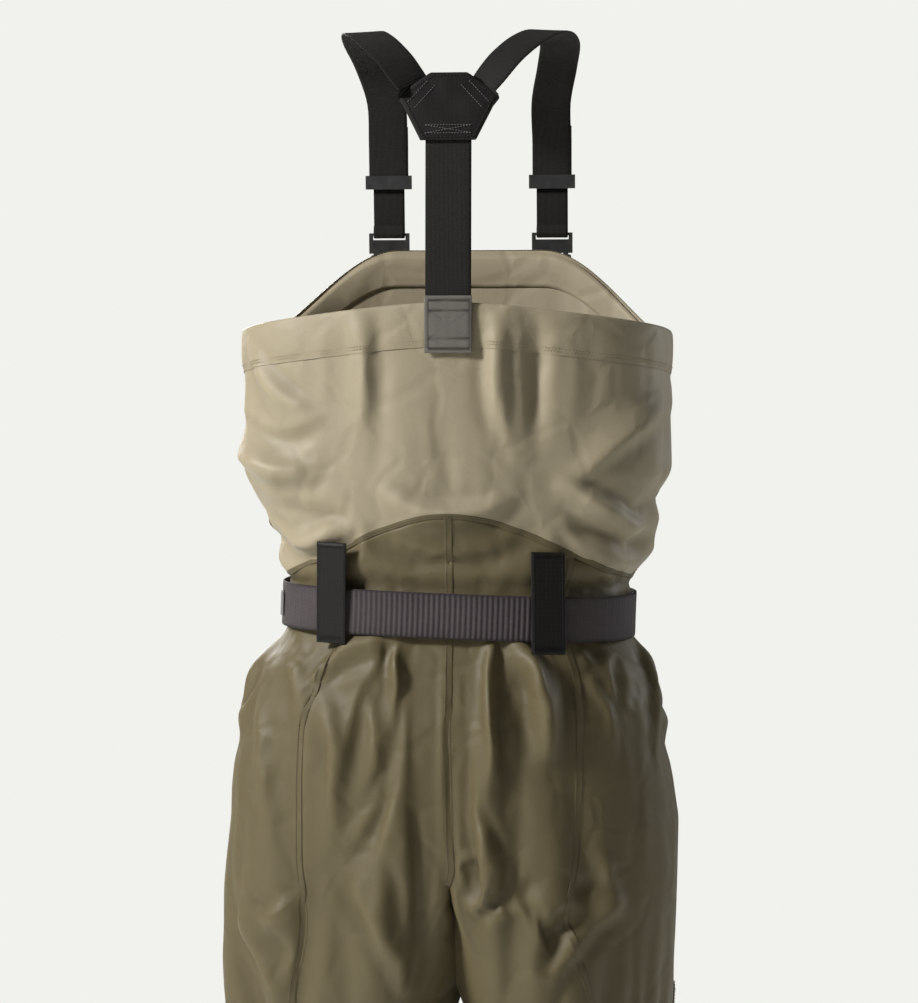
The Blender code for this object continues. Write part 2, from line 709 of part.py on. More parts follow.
POCKET_HALF_WIDTH = 0.074
POCKET_BOTTOM = 1.185
POCKET_TOP = 1.335
POCKET_BACK = -0.1440
POCKET_FRONT = -0.1560
ZIP_HEIGHT = 1.312
ZIP_HALF_LENGTH = 0.058


def make_pocket():
    """Shallow pocket on the chest, with a zip across its upper part."""
    middle = (POCKET_TOP + POCKET_BOTTOM) / 2
    half_height = (POCKET_TOP - POCKET_BOTTOM) / 2
    corner = 0.015
    outline = [(-POCKET_HALF_WIDTH + corner, -half_height), (POCKET_HALF_WIDTH - corner, -half_height),
               (POCKET_HALF_WIDTH, -half_height + corner), (POCKET_HALF_WIDTH, half_height),
               (-POCKET_HALF_WIDTH, half_height), (-POCKET_HALF_WIDTH, -half_height + corner)]
    pocket = plate("chest_pocket", "bib_shell", outline, 0.0, POCKET_BACK - POCKET_FRONT, 0.002)
    across, up = Vector((1, 0, 0)), Vector((0, 0, 1))
    place(pocket, Vector((0, POCKET_BACK, middle)), across, up)
    half = ZIP_HALF_LENGTH + 0.008
    tape = plate("zip_tape", "black_webbing", oblong(half, 0.012), 0.0, 0.0008)
    place(tape, Vector((0, POCKET_FRONT - GAP, ZIP_HEIGHT)), across, up)
    chain = plate("zip_teeth", "buckle_plastic", oblong(ZIP_HALF_LENGTH, 0.003), 0.0, 0.0012)
    place(chain, Vector((0, POCKET_FRONT - GAP * 2 - 0.0008, ZIP_HEIGHT)), across, up)
    slider = plate("zip_slider", "buckle_plastic", oblong(0.007, 0.005), 0.0, 0.0020, 0.0005)
    start = -ZIP_HALF_LENGTH + 0.008
    place(slider, Vector((start, POCKET_FRONT - GAP * 3 - 0.0020, ZIP_HEIGHT)), across, up)
    tag = [(-0.004, -0.034), (0.004, -0.034), (0.004, 0.002), (-0.004, 0.002)]
    pull = plate("zip_pull", "black_webbing", tag, 0.0, 0.0018, 0.0004)
    place(pull, Vector((start, POCKET_FRONT - GAP * 4 - 0.0040, ZIP_HEIGHT)), across, up)


CORD_LOCK_HEIGHT = 1.352
CORD_LOCK_ANGLE = math.radians(-146)
CORD_LOCK_PROUD = 0.0100


def make_cord_lock():
    """Barrel lock on the hem cord's tails, with a sprung push button."""
    point = torso_point(CORD_LOCK_HEIGHT, CORD_LOCK_ANGLE, CORD_LOCK_PROUD)
    centre = Vector((point.x, point.y, CORD_LOCK_HEIGHT))
    sides = 12

    def tube(name, slot, radius, low, high, bore=0.0):
        turns = steps(0, 2 * math.pi * (sides - 1) / sides, sides - 1)

        def ring(r, z):
            return [centre + Vector((r * math.cos(a), r * math.sin(a), z)) for a in turns]
        if bore:
            rings = [ring(radius, low), ring(radius, high), ring(bore, high), ring(bore, low)]
            return loft(name, slot, rings, cyclic=True)
        return loft(name, slot, [ring(radius, low), ring(radius, high)])
    tube("cord_lock_barrel", "buckle_plastic", 0.0080, -0.012, 0.006, 0.0058)
    tube("cord_lock_button", "buckle_plastic", 0.0054, 0.0008, 0.0100)
    tube("cord_lock_base", "buckle_plastic", 0.0054, -0.0120, -0.0098)
    tube("cord_lock_spring", "spring_steel", 0.0038, -0.0094, 0.0004, 0.0026)


def centre_over_origin():
    """Puts the origin on the floor under the middle of the whole object."""
    bpy.context.view_layer.update()
    reach = [(made.matrix_world @ vertex.co).y for made in bpy.data.objects
             if made.type == "MESH" and not made.hide_render for vertex in made.data.vertices]
    shift = -(min(reach) + max(reach)) / 2
    for made in bpy.data.objects:
        if made.parent is None:
            made.matrix_world = Matrix.Translation((0, shift, 0)) @ made.matrix_world


clear_scene()
make_bib()
make_lower_shell()
make_gusset()
make_knee_patches()
make_feet()
make_suspenders()
make_belt()
make_pocket()
make_cord_lock()
centre_over_origin()
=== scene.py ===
"""Looks of the stocking-foot chest waders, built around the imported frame.

The garment is one fine net of cloth with folds pressed into it. Cloth simulation gathers it
at the belt and lets it settle over a hidden body form. The net is then cut into the panels
that the frame names, and the seams, straps, belt and fittings are laid on it.
Metres, +Z up, +X the wearer's left, +Y the wearer's back.
"""

import json
import math
import random

import bmesh
import bpy
import numpy as np
from mathutils import Matrix, Vector, noise
from mathutils.bvhtree import BVHTree

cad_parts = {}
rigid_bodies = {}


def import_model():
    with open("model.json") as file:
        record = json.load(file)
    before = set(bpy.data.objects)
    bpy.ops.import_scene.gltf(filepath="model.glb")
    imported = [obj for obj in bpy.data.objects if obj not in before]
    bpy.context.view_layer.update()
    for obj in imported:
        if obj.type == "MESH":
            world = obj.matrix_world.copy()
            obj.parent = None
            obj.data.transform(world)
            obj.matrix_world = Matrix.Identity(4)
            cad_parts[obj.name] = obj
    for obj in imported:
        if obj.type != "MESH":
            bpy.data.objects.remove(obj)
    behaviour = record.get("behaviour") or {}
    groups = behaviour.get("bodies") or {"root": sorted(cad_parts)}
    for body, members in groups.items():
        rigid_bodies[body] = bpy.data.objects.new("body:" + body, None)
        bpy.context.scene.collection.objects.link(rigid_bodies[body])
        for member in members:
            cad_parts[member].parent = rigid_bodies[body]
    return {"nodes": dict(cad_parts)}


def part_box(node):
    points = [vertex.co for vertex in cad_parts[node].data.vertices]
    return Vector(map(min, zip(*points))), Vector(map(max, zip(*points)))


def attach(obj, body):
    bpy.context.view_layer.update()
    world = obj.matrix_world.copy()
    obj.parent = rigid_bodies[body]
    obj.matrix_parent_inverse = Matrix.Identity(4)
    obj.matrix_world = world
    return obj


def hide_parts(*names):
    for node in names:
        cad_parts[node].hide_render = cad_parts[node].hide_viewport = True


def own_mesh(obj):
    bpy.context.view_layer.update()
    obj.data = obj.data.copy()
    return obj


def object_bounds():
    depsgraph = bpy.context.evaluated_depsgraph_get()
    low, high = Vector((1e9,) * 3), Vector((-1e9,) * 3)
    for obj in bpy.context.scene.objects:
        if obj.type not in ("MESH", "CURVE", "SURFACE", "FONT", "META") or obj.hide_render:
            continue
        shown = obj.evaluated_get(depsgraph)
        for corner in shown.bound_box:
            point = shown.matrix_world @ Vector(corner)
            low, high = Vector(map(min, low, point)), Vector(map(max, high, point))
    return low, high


for thing in list(bpy.data.objects):
    bpy.data.objects.remove(thing, do_unlink=True)
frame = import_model()
cad_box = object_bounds()

# Heights and depths taken from the frame
BELT_LOW, BELT_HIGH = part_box("belt")
BELT_HEIGHT = (BELT_LOW.z + BELT_HIGH.z) / 2
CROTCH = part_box("crotch_gusset")[1].z + 0.001
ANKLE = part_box("leg_back_left")[0].z
FRONT_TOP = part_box("bib_front")[1].z
BACK_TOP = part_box("bib_back")[1].z
SIDE_TOP = BACK_TOP - 0.030
COLOUR_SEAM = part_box("bib_back")[0].z
BODY_Y = (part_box("bib_back")[1].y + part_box("bib_front")[0].y) / 2

# Measures of the garment
BELT_WIDTH = 0.050
BELT_TILT = math.radians(-1.9)
COLOUR_ARCH = 0.076
HEM_DEPTH = 0.043
GUARD_TOP = 0.225
CLOTH = 0.0012

# Rear seams, as a share of the way round from centre front to centre back, and how far each
# one leans from there over the hips and down the legs
REAR_SEAM = 0.73
LEFT_HIP_LEAN = -0.035
RIGHT_HIP_LEAN = -0.004
HIP_LEAN_START = 10
HIP_LEAN_ROWS = 12
LEG_LEAN_START = -4
LEG_LEAN_ROWS = 28
LEG_SEAM_LEAN = 0.085

UPWARD = Vector((0, 0, 1))
LEFTWARD = Vector((1, 0, 0))
RIGHTWARD = Vector((-1, 0, 0))
FORWARD = Vector((0, -1, 0))
BACKWARD = Vector((0, 1, 0))
SIDES = (("left", 1), ("right", -1))

# Torso outline: height, half width, half depth, centre y from the body's middle
TORSO = [
    (0.700, 0.254, 0.138, 0.010),
    (0.805, 0.252, 0.146, 0.012),
    (0.900, 0.244, 0.148, 0.012),
    (0.955, 0.232, 0.140, 0.008),
    (0.995, 0.189, 0.126, 0.004),
    (1.047, 0.189, 0.126, 0.004),
    (1.085, 0.205, 0.132, 0.004),
    (1.142, 0.222, 0.138, 0.002),
    (1.180, 0.240, 0.142, 0.000),
    (1.440, 0.239, 0.142, 0.000),
]
# Leg outline: height, centre x, half width, half depth, centre y
LEG = [
    (0.165, 0.128, 0.066, 0.078, 0.014),
    (0.330, 0.130, 0.088, 0.098, 0.014),
    (0.500, 0.125, 0.106, 0.110, 0.006),
    (0.600, 0.127, 0.123, 0.126, 0.008),
    (0.740, 0.127, 0.125, 0.138, 0.010),
]
THIGH_BLEND = 0.16
TORSO_SQUARENESS = 2.5
LEG_SQUARENESS = 2.2

# How the cloth is cut: its waist before the belt draws it in, and its length to its height
CUT_HALF_WIDTH = 0.200
CUT_HALF_DEPTH = 0.131
CUT_LENGTH = 1.025

# ---------------------------------------------------------------- body profiles

def station(stations, height):
    """Values at a height, eased smoothly between the stations on either side."""
    if height <= stations[0][0]:
        return stations[0][1:]
    for low, high in zip(stations, stations[1:]):
        if height <= high[0]:
            share = (height - low[0]) / (high[0] - low[0])
            share = share * share * (3 - 2 * share)
            return [a + (b - a) * share for a, b in zip(low[1:], high[1:])]
    return stations[-1][1:]


def eased(value):
    """Smooth step from 0 to 1."""
    value = min(max(value, 0.0), 1.0)
    return value * value * (3 - 2 * value)


def rounded_radius(angle, half_width, half_depth, squareness):
    """Radius of a rounded box at an angle; a squareness of 2 makes it an ellipse."""
    across = abs(math.cos(angle) / half_width) ** squareness
    along = abs(math.sin(angle) / half_depth) ** squareness
    return (across + along) ** (-1 / squareness)


def torso_point(height, angle, proud=0.0, ungathered=False):
    """Point on the torso. Angle 0 is the wearer's left, 90 degrees the back. Ungathered
    cloth keeps its cut width where the belt draws it in."""
    half_width, half_depth, centre_y = station(TORSO, height)
    if ungathered:
        half_width = max(half_width, CUT_HALF_WIDTH)
        half_depth = max(half_depth, CUT_HALF_DEPTH)
    radius = rounded_radius(angle, half_width + proud, half_depth + proud, TORSO_SQUARENESS)
    return Vector((radius * math.cos(angle), BODY_Y + centre_y + radius * math.sin(angle), height))


def leg_point(height, turn, proud=0.0):
    """Point on the left leg. Turn 0 to 1 runs from centre front round the outside to
    centre back; 1 to 2 comes forward again along the inner thigh."""
    centre_x, half_width, half_depth, centre_y = station(LEG, height)
    angle = math.radians(-120 + 240 * min(turn, 1.0) + 120 * max(turn - 1.0, 0.0))
    radius = rounded_radius(angle, half_width + proud, half_depth + proud, LEG_SQUARENESS)
    loop = Vector((centre_x + radius * math.cos(angle),
                   BODY_Y + centre_y + radius * math.sin(angle), height))
    joined = eased((height - (CROTCH - THIGH_BLEND)) / THIGH_BLEND)
    if turn <= 1:
        hip = torso_point(height, math.radians(-90 + 180 * turn), proud)
        hip.x = max(hip.x, 0.0)
    else:
        back = torso_point(height, math.radians(90), proud)
        front = torso_point(height, math.radians(-90), proud)
        hip = back.lerp(front, turn - 1)
        hip.x = 0.0
    return loop.lerp(hip, joined)


def bib_top(angle):
    """Height of the bib's hem: highest at centre back and centre front, lower at the sides."""
    lift = math.sin(angle)
    if lift > 0:
        return SIDE_TOP + (BACK_TOP - SIDE_TOP) * lift ** 1.2
    return SIDE_TOP + (FRONT_TOP - SIDE_TOP) * eased((-lift - 0.25) / 0.6)


def colour_seam(angle):
    """Height of the seam between bib and lower shell: an arch over the lower back."""
    return COLOUR_SEAM + COLOUR_ARCH * max(math.sin(angle), 0.0) ** 2


# ---------------------------------------------------------------- the net of cloth

class Net:
    """One welded sheet for the whole garment. Rows run from the hem down to the ankles,
    and each half's columns run from centre front round the outside to centre back, then
    forward along the inner thigh."""

    def __init__(self, bib_rows, hip_rows, leg_rows, outer_columns, inner_columns):
        self.bib_end = bib_rows
        self.crotch_row = bib_rows + hip_rows
        self.last_row = self.crotch_row + leg_rows
        self.outer = outer_columns
        self.around = outer_columns + inner_columns
        self.index = {}
        self.places = []
        self.faces = []
        self.tags = []
        for side in (1, -1):
            for row in range(self.last_row):
                for column in range(self.outer if row < self.crotch_row else self.around):
                    self.add_face(side, row, column)

    def turn(self, column):
        if column <= self.outer:
            return column / self.outer
        return 1.0 + (column - self.outer) / (self.around - self.outer)

    def add_face(self, side, row, column):
        corners = [(row, column), (row + 1, column), (row + 1, column + 1), (row, column + 1)]
        if side < 0:
            corners.reverse()
        self.faces.append([self.vertex(side, r, c) for r, c in corners])
        self.tags.append((side, row, column, corners))

    def vertex(self, side, row, column):
        column %= self.around
        on_centre = column in (0, self.outer)
        if (row < self.crotch_row and on_centre) or (
                row == self.crotch_row and (on_centre or column > self.outer)):
            side = 0
        key = (side, row, column)
        if key not in self.index:
            self.index[key] = len(self.places)
            self.places.append(key)
        return self.index[key]

    def height(self, row, turn):
        angle = math.radians(-90 + 180 * min(turn, 1.0))
        seam = colour_seam(angle)
        if row <= self.bib_end:
            return bib_top(angle) + (seam - bib_top(angle)) * row / self.bib_end
        if row <= self.crotch_row:
            share = (row - self.bib_end) / (self.crotch_row - self.bib_end)
            return seam + (CROTCH - seam) * share
        leg_rows = self.last_row - self.crotch_row
        return CROTCH + (ANKLE - CROTCH) * (row - self.crotch_row) / leg_rows

    def leaned(self, side, row, turn):
        """Turns shifted so that each rear seam hangs straight from the belt to the knee."""
        if turn >= 1.0:
            return turn
        below_belt = eased((row - self.bib_end - HIP_LEAN_START) / HIP_LEAN_ROWS)
        below_crotch = eased((row - self.crotch_row - LEG_LEAN_START) / LEG_LEAN_ROWS)
        hip_lean = LEFT_HIP_LEAN if side > 0 else RIGHT_HIP_LEAN
        seam = REAR_SEAM + hip_lean * below_belt + LEG_SEAM_LEAN * below_crotch
        if turn < REAR_SEAM:
            return turn * seam / REAR_SEAM
        return seam + (turn - REAR_SEAM) * (1 - seam) / (1 - REAR_SEAM)

    def point(self, place, proud=None, ungathered=False):
        side, row, column = place
        turn = self.turn(column)
        height = self.height(row, turn)
        inset = proud(height) if proud else 0.0
        if row < self.crotch_row:
            leaned = self.leaned(side, row, turn)
            found = torso_point(height, math.radians(-90 + 180 * leaned), inset, ungathered)
        else:
            found = leg_point(height, self.leaned(side, row, turn), inset)
        found.x *= side
        return found

    def points(self, proud=None, ungathered=False):
        return [self.point(place, proud, ungathered) for place in self.places]


def linked(name, data):
    """New object for a mesh, lamp or camera, linked into the scene."""
    made = bpy.data.objects.new(name, data)
    bpy.context.scene.collection.objects.link(made)
    return made


def net_mesh(name, points, faces):
    mesh = bpy.data.meshes.new(name)
    mesh.from_pydata([tuple(p) for p in points], [], faces)
    return linked(name, mesh)


# ---------------------------------------------------------------- folds

# Folds on the back, as (distance across from centre back, height above the belt) along each
# ridge, then its width and its depth. A negative depth presses a valley. A lean of 1 or -1
# makes the fold steep on its left or its right, looking along it.
FOLD_STRENGTH = 1.85
FOLD_SEED = 11
BACK_FOLDS = [
    # drag folds that hang from the belt over the left hip and seat
    ([(0.062, -0.028), (0.118, -0.042), (0.160, -0.066)], 0.013, 0.011, 1),
    ([(0.064, -0.024), (0.062, -0.050), (0.060, -0.085)], 0.011, 0.009, -1),
    ([(0.165, -0.030), (0.172, -0.075), (0.164, -0.105)], 0.012, 0.006, 1),
    ([(0.158, -0.092), (0.124, -0.146), (0.142, -0.174)], 0.020, 0.010, -1),
    ([(0.100, -0.075), (0.078, -0.120), (0.082, -0.175)], 0.018, 0.007, 1),
    ([(0.216, -0.060), (0.216, -0.135), (0.200, -0.226)], 0.010, 0.005, 1),
    ([(0.060, -0.180), (0.098, -0.225), (0.116, -0.262)], 0.022, -0.010, 0),
    ([(0.118, -0.266), (0.082, -0.328), (0.044, -0.392)], 0.017, 0.013, -1),
    ([(0.238, -0.330), (0.200, -0.318), (0.160, -0.296)], 0.015, 0.008, 1),
    ([(0.238, -0.330), (0.222, -0.362), (0.198, -0.400)], 0.013, 0.007, -1),
    # drag folds over the right hip and seat
    ([(-0.048, -0.026), (-0.050, -0.096), (-0.062, -0.180)], 0.013, 0.011, 1),
    ([(-0.062, -0.026), (-0.100, -0.060), (-0.115, -0.148)], 0.013, 0.013, -1),
    ([(-0.070, -0.060), (-0.084, -0.105), (-0.092, -0.150)], 0.013, -0.008, 0),
    ([(-0.130, -0.030), (-0.165, -0.052), (-0.190, -0.050)], 0.010, 0.006, 1),
    ([(-0.204, -0.050), (-0.210, -0.090), (-0.196, -0.135)], 0.014, -0.008, 0),
    ([(-0.042, -0.220), (-0.059, -0.279), (-0.018, -0.322)], 0.011, 0.014, 1),
    ([(-0.020, -0.255), (-0.034, -0.300)], 0.016, -0.010, 0),
    ([(-0.018, -0.332), (-0.114, -0.298), (-0.198, -0.305)], 0.013, 0.009, 1),
    ([(-0.200, -0.304), (-0.178, -0.252)], 0.012, 0.007, -1),
    ([(-0.200, -0.306), (-0.160, -0.340), (-0.122, -0.374)], 0.014, 0.009, 1),
    # the bib: pleats under the hem, then rolls where it bunches over the belt
    ([(0.095, 0.325), (0.088, 0.270), (0.098, 0.205)], 0.022, 0.006, 1),
    ([(-0.088, 0.320), (-0.094, 0.260), (-0.080, 0.200)], 0.020, -0.006, 0),
    ([(-0.052, 0.325), (-0.048, 0.255), (-0.060, 0.190)], 0.020, 0.006, -1),
    ([(0.222, 0.290), (0.190, 0.250), (0.155, 0.222)], 0.015, 0.007, 1),
    ([(0.236, 0.222), (0.190, 0.205), (0.150, 0.214)], 0.014, 0.005, -1),
    ([(0.236, 0.176), (0.200, 0.160), (0.150, 0.152)], 0.016, 0.011, -1),
    ([(0.182, 0.136), (0.160, 0.118), (0.112, 0.110)], 0.012, -0.008, 0),
    ([(0.214, 0.108), (0.176, 0.088), (0.120, 0.100)], 0.013, 0.008, 1),
    ([(-0.234, 0.230), (-0.190, 0.192), (-0.140, 0.150)], 0.015, 0.007, 1),
    ([(-0.218, 0.132), (-0.214, 0.096), (-0.206, 0.060)], 0.018, 0.013, 1),
    ([(-0.206, 0.100), (-0.170, 0.122), (-0.130, 0.148)], 0.012, 0.009, -1),
    ([(-0.200, 0.078), (-0.166, 0.090), (-0.128, 0.098)], 0.010, -0.007, 0),
    ([(0.090, 0.140), (0.010, 0.118), (-0.090, 0.132)], 0.017, 0.008, 1),
    ([(0.070, 0.086), (0.000, 0.074), (-0.075, 0.082)], 0.014, 0.006, -1),
]


def fold_distance(points, ends):
    """Distance of every point from one straight run, the share along it, and its side."""
    start, stop = ends
    run = stop - start
    share = np.clip((points - start) @ run / (run @ run), 0, 1)
    away = points - (start + share[:, None] * run)
    return np.linalg.norm(away, axis=1), share, away


def press_fold(points, normals, path, width, depth, lean):
    """Raises or presses one fold along a path of points lying on the cloth."""
    path = np.array([tuple(p) for p in spaced(smooth_path([Vector(p) for p in path], 6), 0.012)])
    nearest = np.full(len(points), 1e9)
    along = np.zeros(len(points))
    side = np.zeros(len(points))
    runs = len(path) - 1
    for number in range(runs):
        distance, share, away = fold_distance(points, (path[number], path[number + 1]))
        closer = distance < nearest
        nearest = np.where(closer, distance, nearest)
        along = np.where(closer, (number + share) / runs, along)
        across = np.cross(normals, path[number + 1] - path[number])
        across /= np.linalg.norm(across, axis=1)[:, None] + 1e-9
        side = np.where(closer, (away * across).sum(1), side)
    reach = np.where(side * lean > 0, width * 0.45, width * (1.25 if lean else 1.0))
    taper = np.clip(np.sin(np.pi * np.clip(along * 0.92 + 0.04, 0, 1)), 0, 1) ** 0.7
    ridge = np.exp(-(nearest / reach) ** 2)
    flank = 0.30 * np.exp(-((nearest - 1.9 * reach) / reach) ** 2)
    points += normals * (FOLD_STRENGTH * depth * taper * (ridge - flank))[:, None]


def on_back(points, across, height):
    """Place on the back of the cloth at a distance across and a height."""
    gap = (points[:, 0] - across) ** 2 + (points[:, 2] - height) ** 2
    gap[points[:, 1] < BODY_Y] += 1.0
    return points[gap.argmin()].copy()


def random_folds(chance):
    """Folds that the cloth makes all over: round the belt, at the crotch, the front of the
    bib, behind the knees, and stacked above the ankles."""
    folds = []

    def add(side, turn, height, run, drop, width, depth):
        path = []
        for share in (0.0, 0.5, 1.0):
            at = turn + run * (share - 0.5)
            level = height + drop * (share - 0.5) + 0.008 * math.sin(math.pi * share)
            if level > CROTCH:
                point = torso_point(level, math.radians(-90 + 180 * min(max(at, 0.0), 1.0)))
            else:
                point = leg_point(level, at % 2.0)
            path.append(Vector((side * point.x, point.y, point.z)))
        folds.append((path, width, depth, chance.choice((-1, 1))))

    for side in (1, -1):
        for number in range(7):
            turn = 0.03 + 0.52 * number / 6 + chance.uniform(-0.02, 0.02)
            add(side, turn, BELT_HEIGHT - 0.085, chance.uniform(-0.06, 0.06),
                -chance.uniform(0.09, 0.15), chance.uniform(0.012, 0.018),
                chance.uniform(0.006, 0.011))
            add(side, turn + 0.04, BELT_HEIGHT + 0.095, chance.uniform(-0.10, 0.10),
                chance.uniform(-0.03, 0.03), chance.uniform(0.012, 0.018),
                chance.uniform(0.005, 0.009))
        for number in range(5):
            add(side, 0.08 + 0.09 * number, CROTCH + 0.02 + 0.035 * number, 0.16, 0.03,
                0.015, chance.uniform(0.005, 0.009))
        for number in range(4):
            add(side, 0.10 + 0.11 * number, 1.24 + 0.02 * chance.uniform(-1, 1),
                chance.uniform(-0.10, 0.10), chance.uniform(0.08, 0.13), 0.018,
                chance.uniform(0.004, 0.007))
        for number in range(11):
            add(side, chance.uniform(0.35, 1.35), chance.uniform(0.40, 0.58),
                chance.uniform(0.14, 0.26), chance.uniform(-0.06, 0.06),
                chance.uniform(0.010, 0.016), chance.uniform(0.006, 0.010))
        for number in range(12):
            add(side, chance.uniform(0.0, 2.0), 0.235 + 0.014 * number,
                chance.uniform(0.30, 0.55), chance.uniform(-0.04, 0.04),
                chance.uniform(0.009, 0.014), chance.uniform(0.005, 0.009))
    return folds


def fold_cloth(net, points):
    """The worn garment's folds, pressed into the smooth net."""
    points = np.array([tuple(p) for p in points])
    for path, width, depth, lean in random_folds(random.Random(FOLD_SEED)):
        press_fold(points, normals_of(points, net.faces), path, width, depth, lean)
    for keys, width, depth, lean in BACK_FOLDS:
        path = [on_back(points, across, BELT_HEIGHT + rise) for across, rise in keys]
        press_fold(points, normals_of(points, net.faces), path, width, depth, lean)
    return points


# ---------------------------------------------------------------- cloth simulation

SIM_FRAMES = 22
MOST_SWELL = 0.016


def body_slack(height):
    """How far the hidden body lies inside the cloth: snug at the waist, loose below."""
    if height > CROTCH:
        return -0.003 - 0.013 * eased(abs(height - BELT_HEIGHT) / 0.06)
    return -0.014 - 0.016 * eased((CROTCH - height) / 0.25)


def belt_line(x):
    """Height of the tilted belt's middle at a distance across the body."""
    return BELT_HEIGHT - x * math.sin(BELT_TILT)


def pinned(net, place, point):
    """The cloth is held along the hem, under the belt and at the ankles."""
    return place[1] in (0, net.last_row) or abs(point[2] - belt_line(point[0])) < BELT_WIDTH * 0.5


def body_form():
    """Hidden body for the cloth to settle on, coarser and a little smaller than the garment."""
    form = Net(12, 12, 18, 28, 10)
    body = net_mesh("body_form", form.points(body_slack), form.faces)
    body.modifiers.new("collision", "COLLISION")
    body.collision.thickness_outer = 0.002
    body.collision.cloth_friction = 8.0
    return body


def simulate_garment(net, folded):
    """Cut a little longer than the body and wider at the waist, the folded cloth is gathered
    by the belt and left to settle over a hidden body."""
    cloth = net_mesh("garment_sim", folded, net.faces)
    cloth.shape_key_add(name="Basis")
    cut = cloth.shape_key_add(name="cut")
    smooth, wide = net.points(), net.points(ungathered=True)
    for number, (a, b) in enumerate(zip(smooth, wide)):
        spread = Vector(folded[number]) + (b - a)
        cut.data[number].co = Vector((spread.x, spread.y, spread.z * CUT_LENGTH))
    pins = cloth.vertex_groups.new(name="pins")
    held = [i for i, place in enumerate(net.places) if pinned(net, place, smooth[i])]
    pins.add(held, 1.0, "REPLACE")
    body = body_form()
    fabric = cloth.modifiers.new("cloth", "CLOTH")
    settings = fabric.settings
    settings.quality = 5
    settings.mass = 0.25
    settings.tension_stiffness = 25
    settings.compression_stiffness = 15
    settings.shear_stiffness = 5
    settings.bending_model = "ANGULAR"
    settings.bending_stiffness = 2.5
    settings.air_damping = 2.0
    settings.vertex_group_mass = "pins"
    settings.rest_shape_key = cut
    fabric.collision_settings.distance_min = 0.002
    fabric.collision_settings.collision_quality = 2
    fabric.point_cache.frame_end = SIM_FRAMES
    scene = bpy.context.scene
    for step in range(1, SIM_FRAMES + 1):
        scene.frame_set(step)
    evaluated = cloth.evaluated_get(bpy.context.evaluated_depsgraph_get())
    settled = np.array([tuple(vertex.co) for vertex in evaluated.data.vertices])
    scene.frame_set(1)
    bpy.data.objects.remove(cloth)
    bpy.data.objects.remove(body)
    return settled


def swell_room(point):
    """How far the cloth may stand out from its base: little under sewn-on pieces."""
    x, y, z = point
    behind_strap = (1 - eased((abs(x) - 0.032) / 0.03)) * eased((z - BACK_TOP + 0.085) / 0.03)
    if y < BODY_Y:
        hardware = (1 - eased((abs(x) - 0.125) / 0.03)) * eased((z - 1.165) / 0.03)
        return 0.0006 + (MOST_SWELL - 0.0006) * (1 - hardware)
    return 0.0002 + (MOST_SWELL - 0.0002) * (1 - behind_strap)


def capped(net, settled):
    """Keeps the settled cloth from standing out further than it has room for."""
    base = np.array([tuple(p) for p in net.points()])
    normals = normals_of(base, net.faces)
    outward = ((settled - base) * normals).sum(1)
    room = np.array([swell_room(p) for p in base])
    return settled - normals * np.clip(outward - room, 0, None)[:, None]


SOFTENING_ROUNDS = 14


def softened(net, points):
    """Evens out the bunched cloth low on the front of the bib."""
    height, depth = points[:, 2], points[:, 1]
    band = np.exp(-((height - (BELT_HEIGHT + 0.085)) / 0.035) ** 4)
    mask = (band * np.clip((BODY_Y - depth) / 0.06, 0, 1))[:, None] * 0.6
    quads = np.array(net.faces)
    for _ in range(SOFTENING_ROUNDS):
        total, count = np.zeros_like(points), np.zeros((len(points), 1))
        for corner in range(4):
            for other in (1, 3):
                np.add.at(total, quads[:, corner], points[quads[:, (corner + other) % 4]])
                np.add.at(count, quads[:, corner], 1)
        points = points + (total / count - points) * mask
    return points


# How far the worn cloth reaches to each side: height, towards +X, towards -X
SIDE_REACH = [
    (0.300, 0.232, 0.222),
    (0.568, 0.263, 0.244),
    (0.623, 0.267, 0.245),
    (0.703, 0.268, 0.248),
    (0.783, 0.260, 0.250),
    (0.847, 0.257, 0.241),
    (0.880, 0.255, 0.239),
    (0.937, 0.246, 0.234),
    (0.976, 0.229, 0.222),
    (1.000, 0.200, 0.202),
    (1.045, 0.197, 0.203),
    (1.076, 0.207, 0.228),
    (1.101, 0.207, 0.224),
    (1.138, 0.228, 0.226),
    (1.175, 0.252, 0.242),
    (1.232, 0.246, 0.240),
    (1.310, 0.245, 0.239),
]
REACH_BAND = 0.012


def shaped_sides(points):
    """Moves the outermost cloth sideways to the reach it is worn at, leaving the middle."""
    heights = np.array([row[0] for row in SIDE_REACH])
    shaped = points.copy()
    for side, column in ((1, 1), (-1, 2)):
        factors = []
        for row in SIDE_REACH:
            near = np.abs(points[:, 2] - row[0]) < REACH_BAND
            factors.append(row[column] / max((points[near, 0] * side).max(), 0.05))
        ours = points[:, 0] * side > 0
        factor = np.interp(points[ours, 2], heights, factors)
        share = np.clip(np.abs(points[ours, 0]) / 0.24, 0, 1) ** 3
        fade = np.clip((points[ours, 2] - 0.17) / 0.13, 0, 1)
        shaped[ours, 0] *= 1 + (factor - 1) * share * fade
    return shaped


TUCK_DEPTH = 0.001
TUCK_BLEND = 0.030


def tucked(points):
    """Draws the leg cloth in where the gravel guards hang over it."""
    drawn = points.copy()
    for number in np.flatnonzero(points[:, 2] < GUARD_TOP + TUCK_BLEND):
        x, y, height = points[number]
        side = math.copysign(1, x)
        centre_x, half_width, half_depth, centre_y = station(LEG, height)
        across, along = side * x - centre_x, y - BODY_Y - centre_y
        reach = math.hypot(across, along)
        angle = math.atan2(along, across)
        room = rounded_radius(angle, half_width, half_depth, LEG_SQUARENESS) - TUCK_DEPTH
        share = 1 - eased((height - GUARD_TOP) / TUCK_BLEND)
        scale = 1 - share * max(1 - room / reach, 0)
        drawn[number, 0] = side * (centre_x + across * scale)
        drawn[number, 1] = BODY_Y + centre_y + along * scale
    return drawn


# ---------------------------------------------------------------- mesh helpers

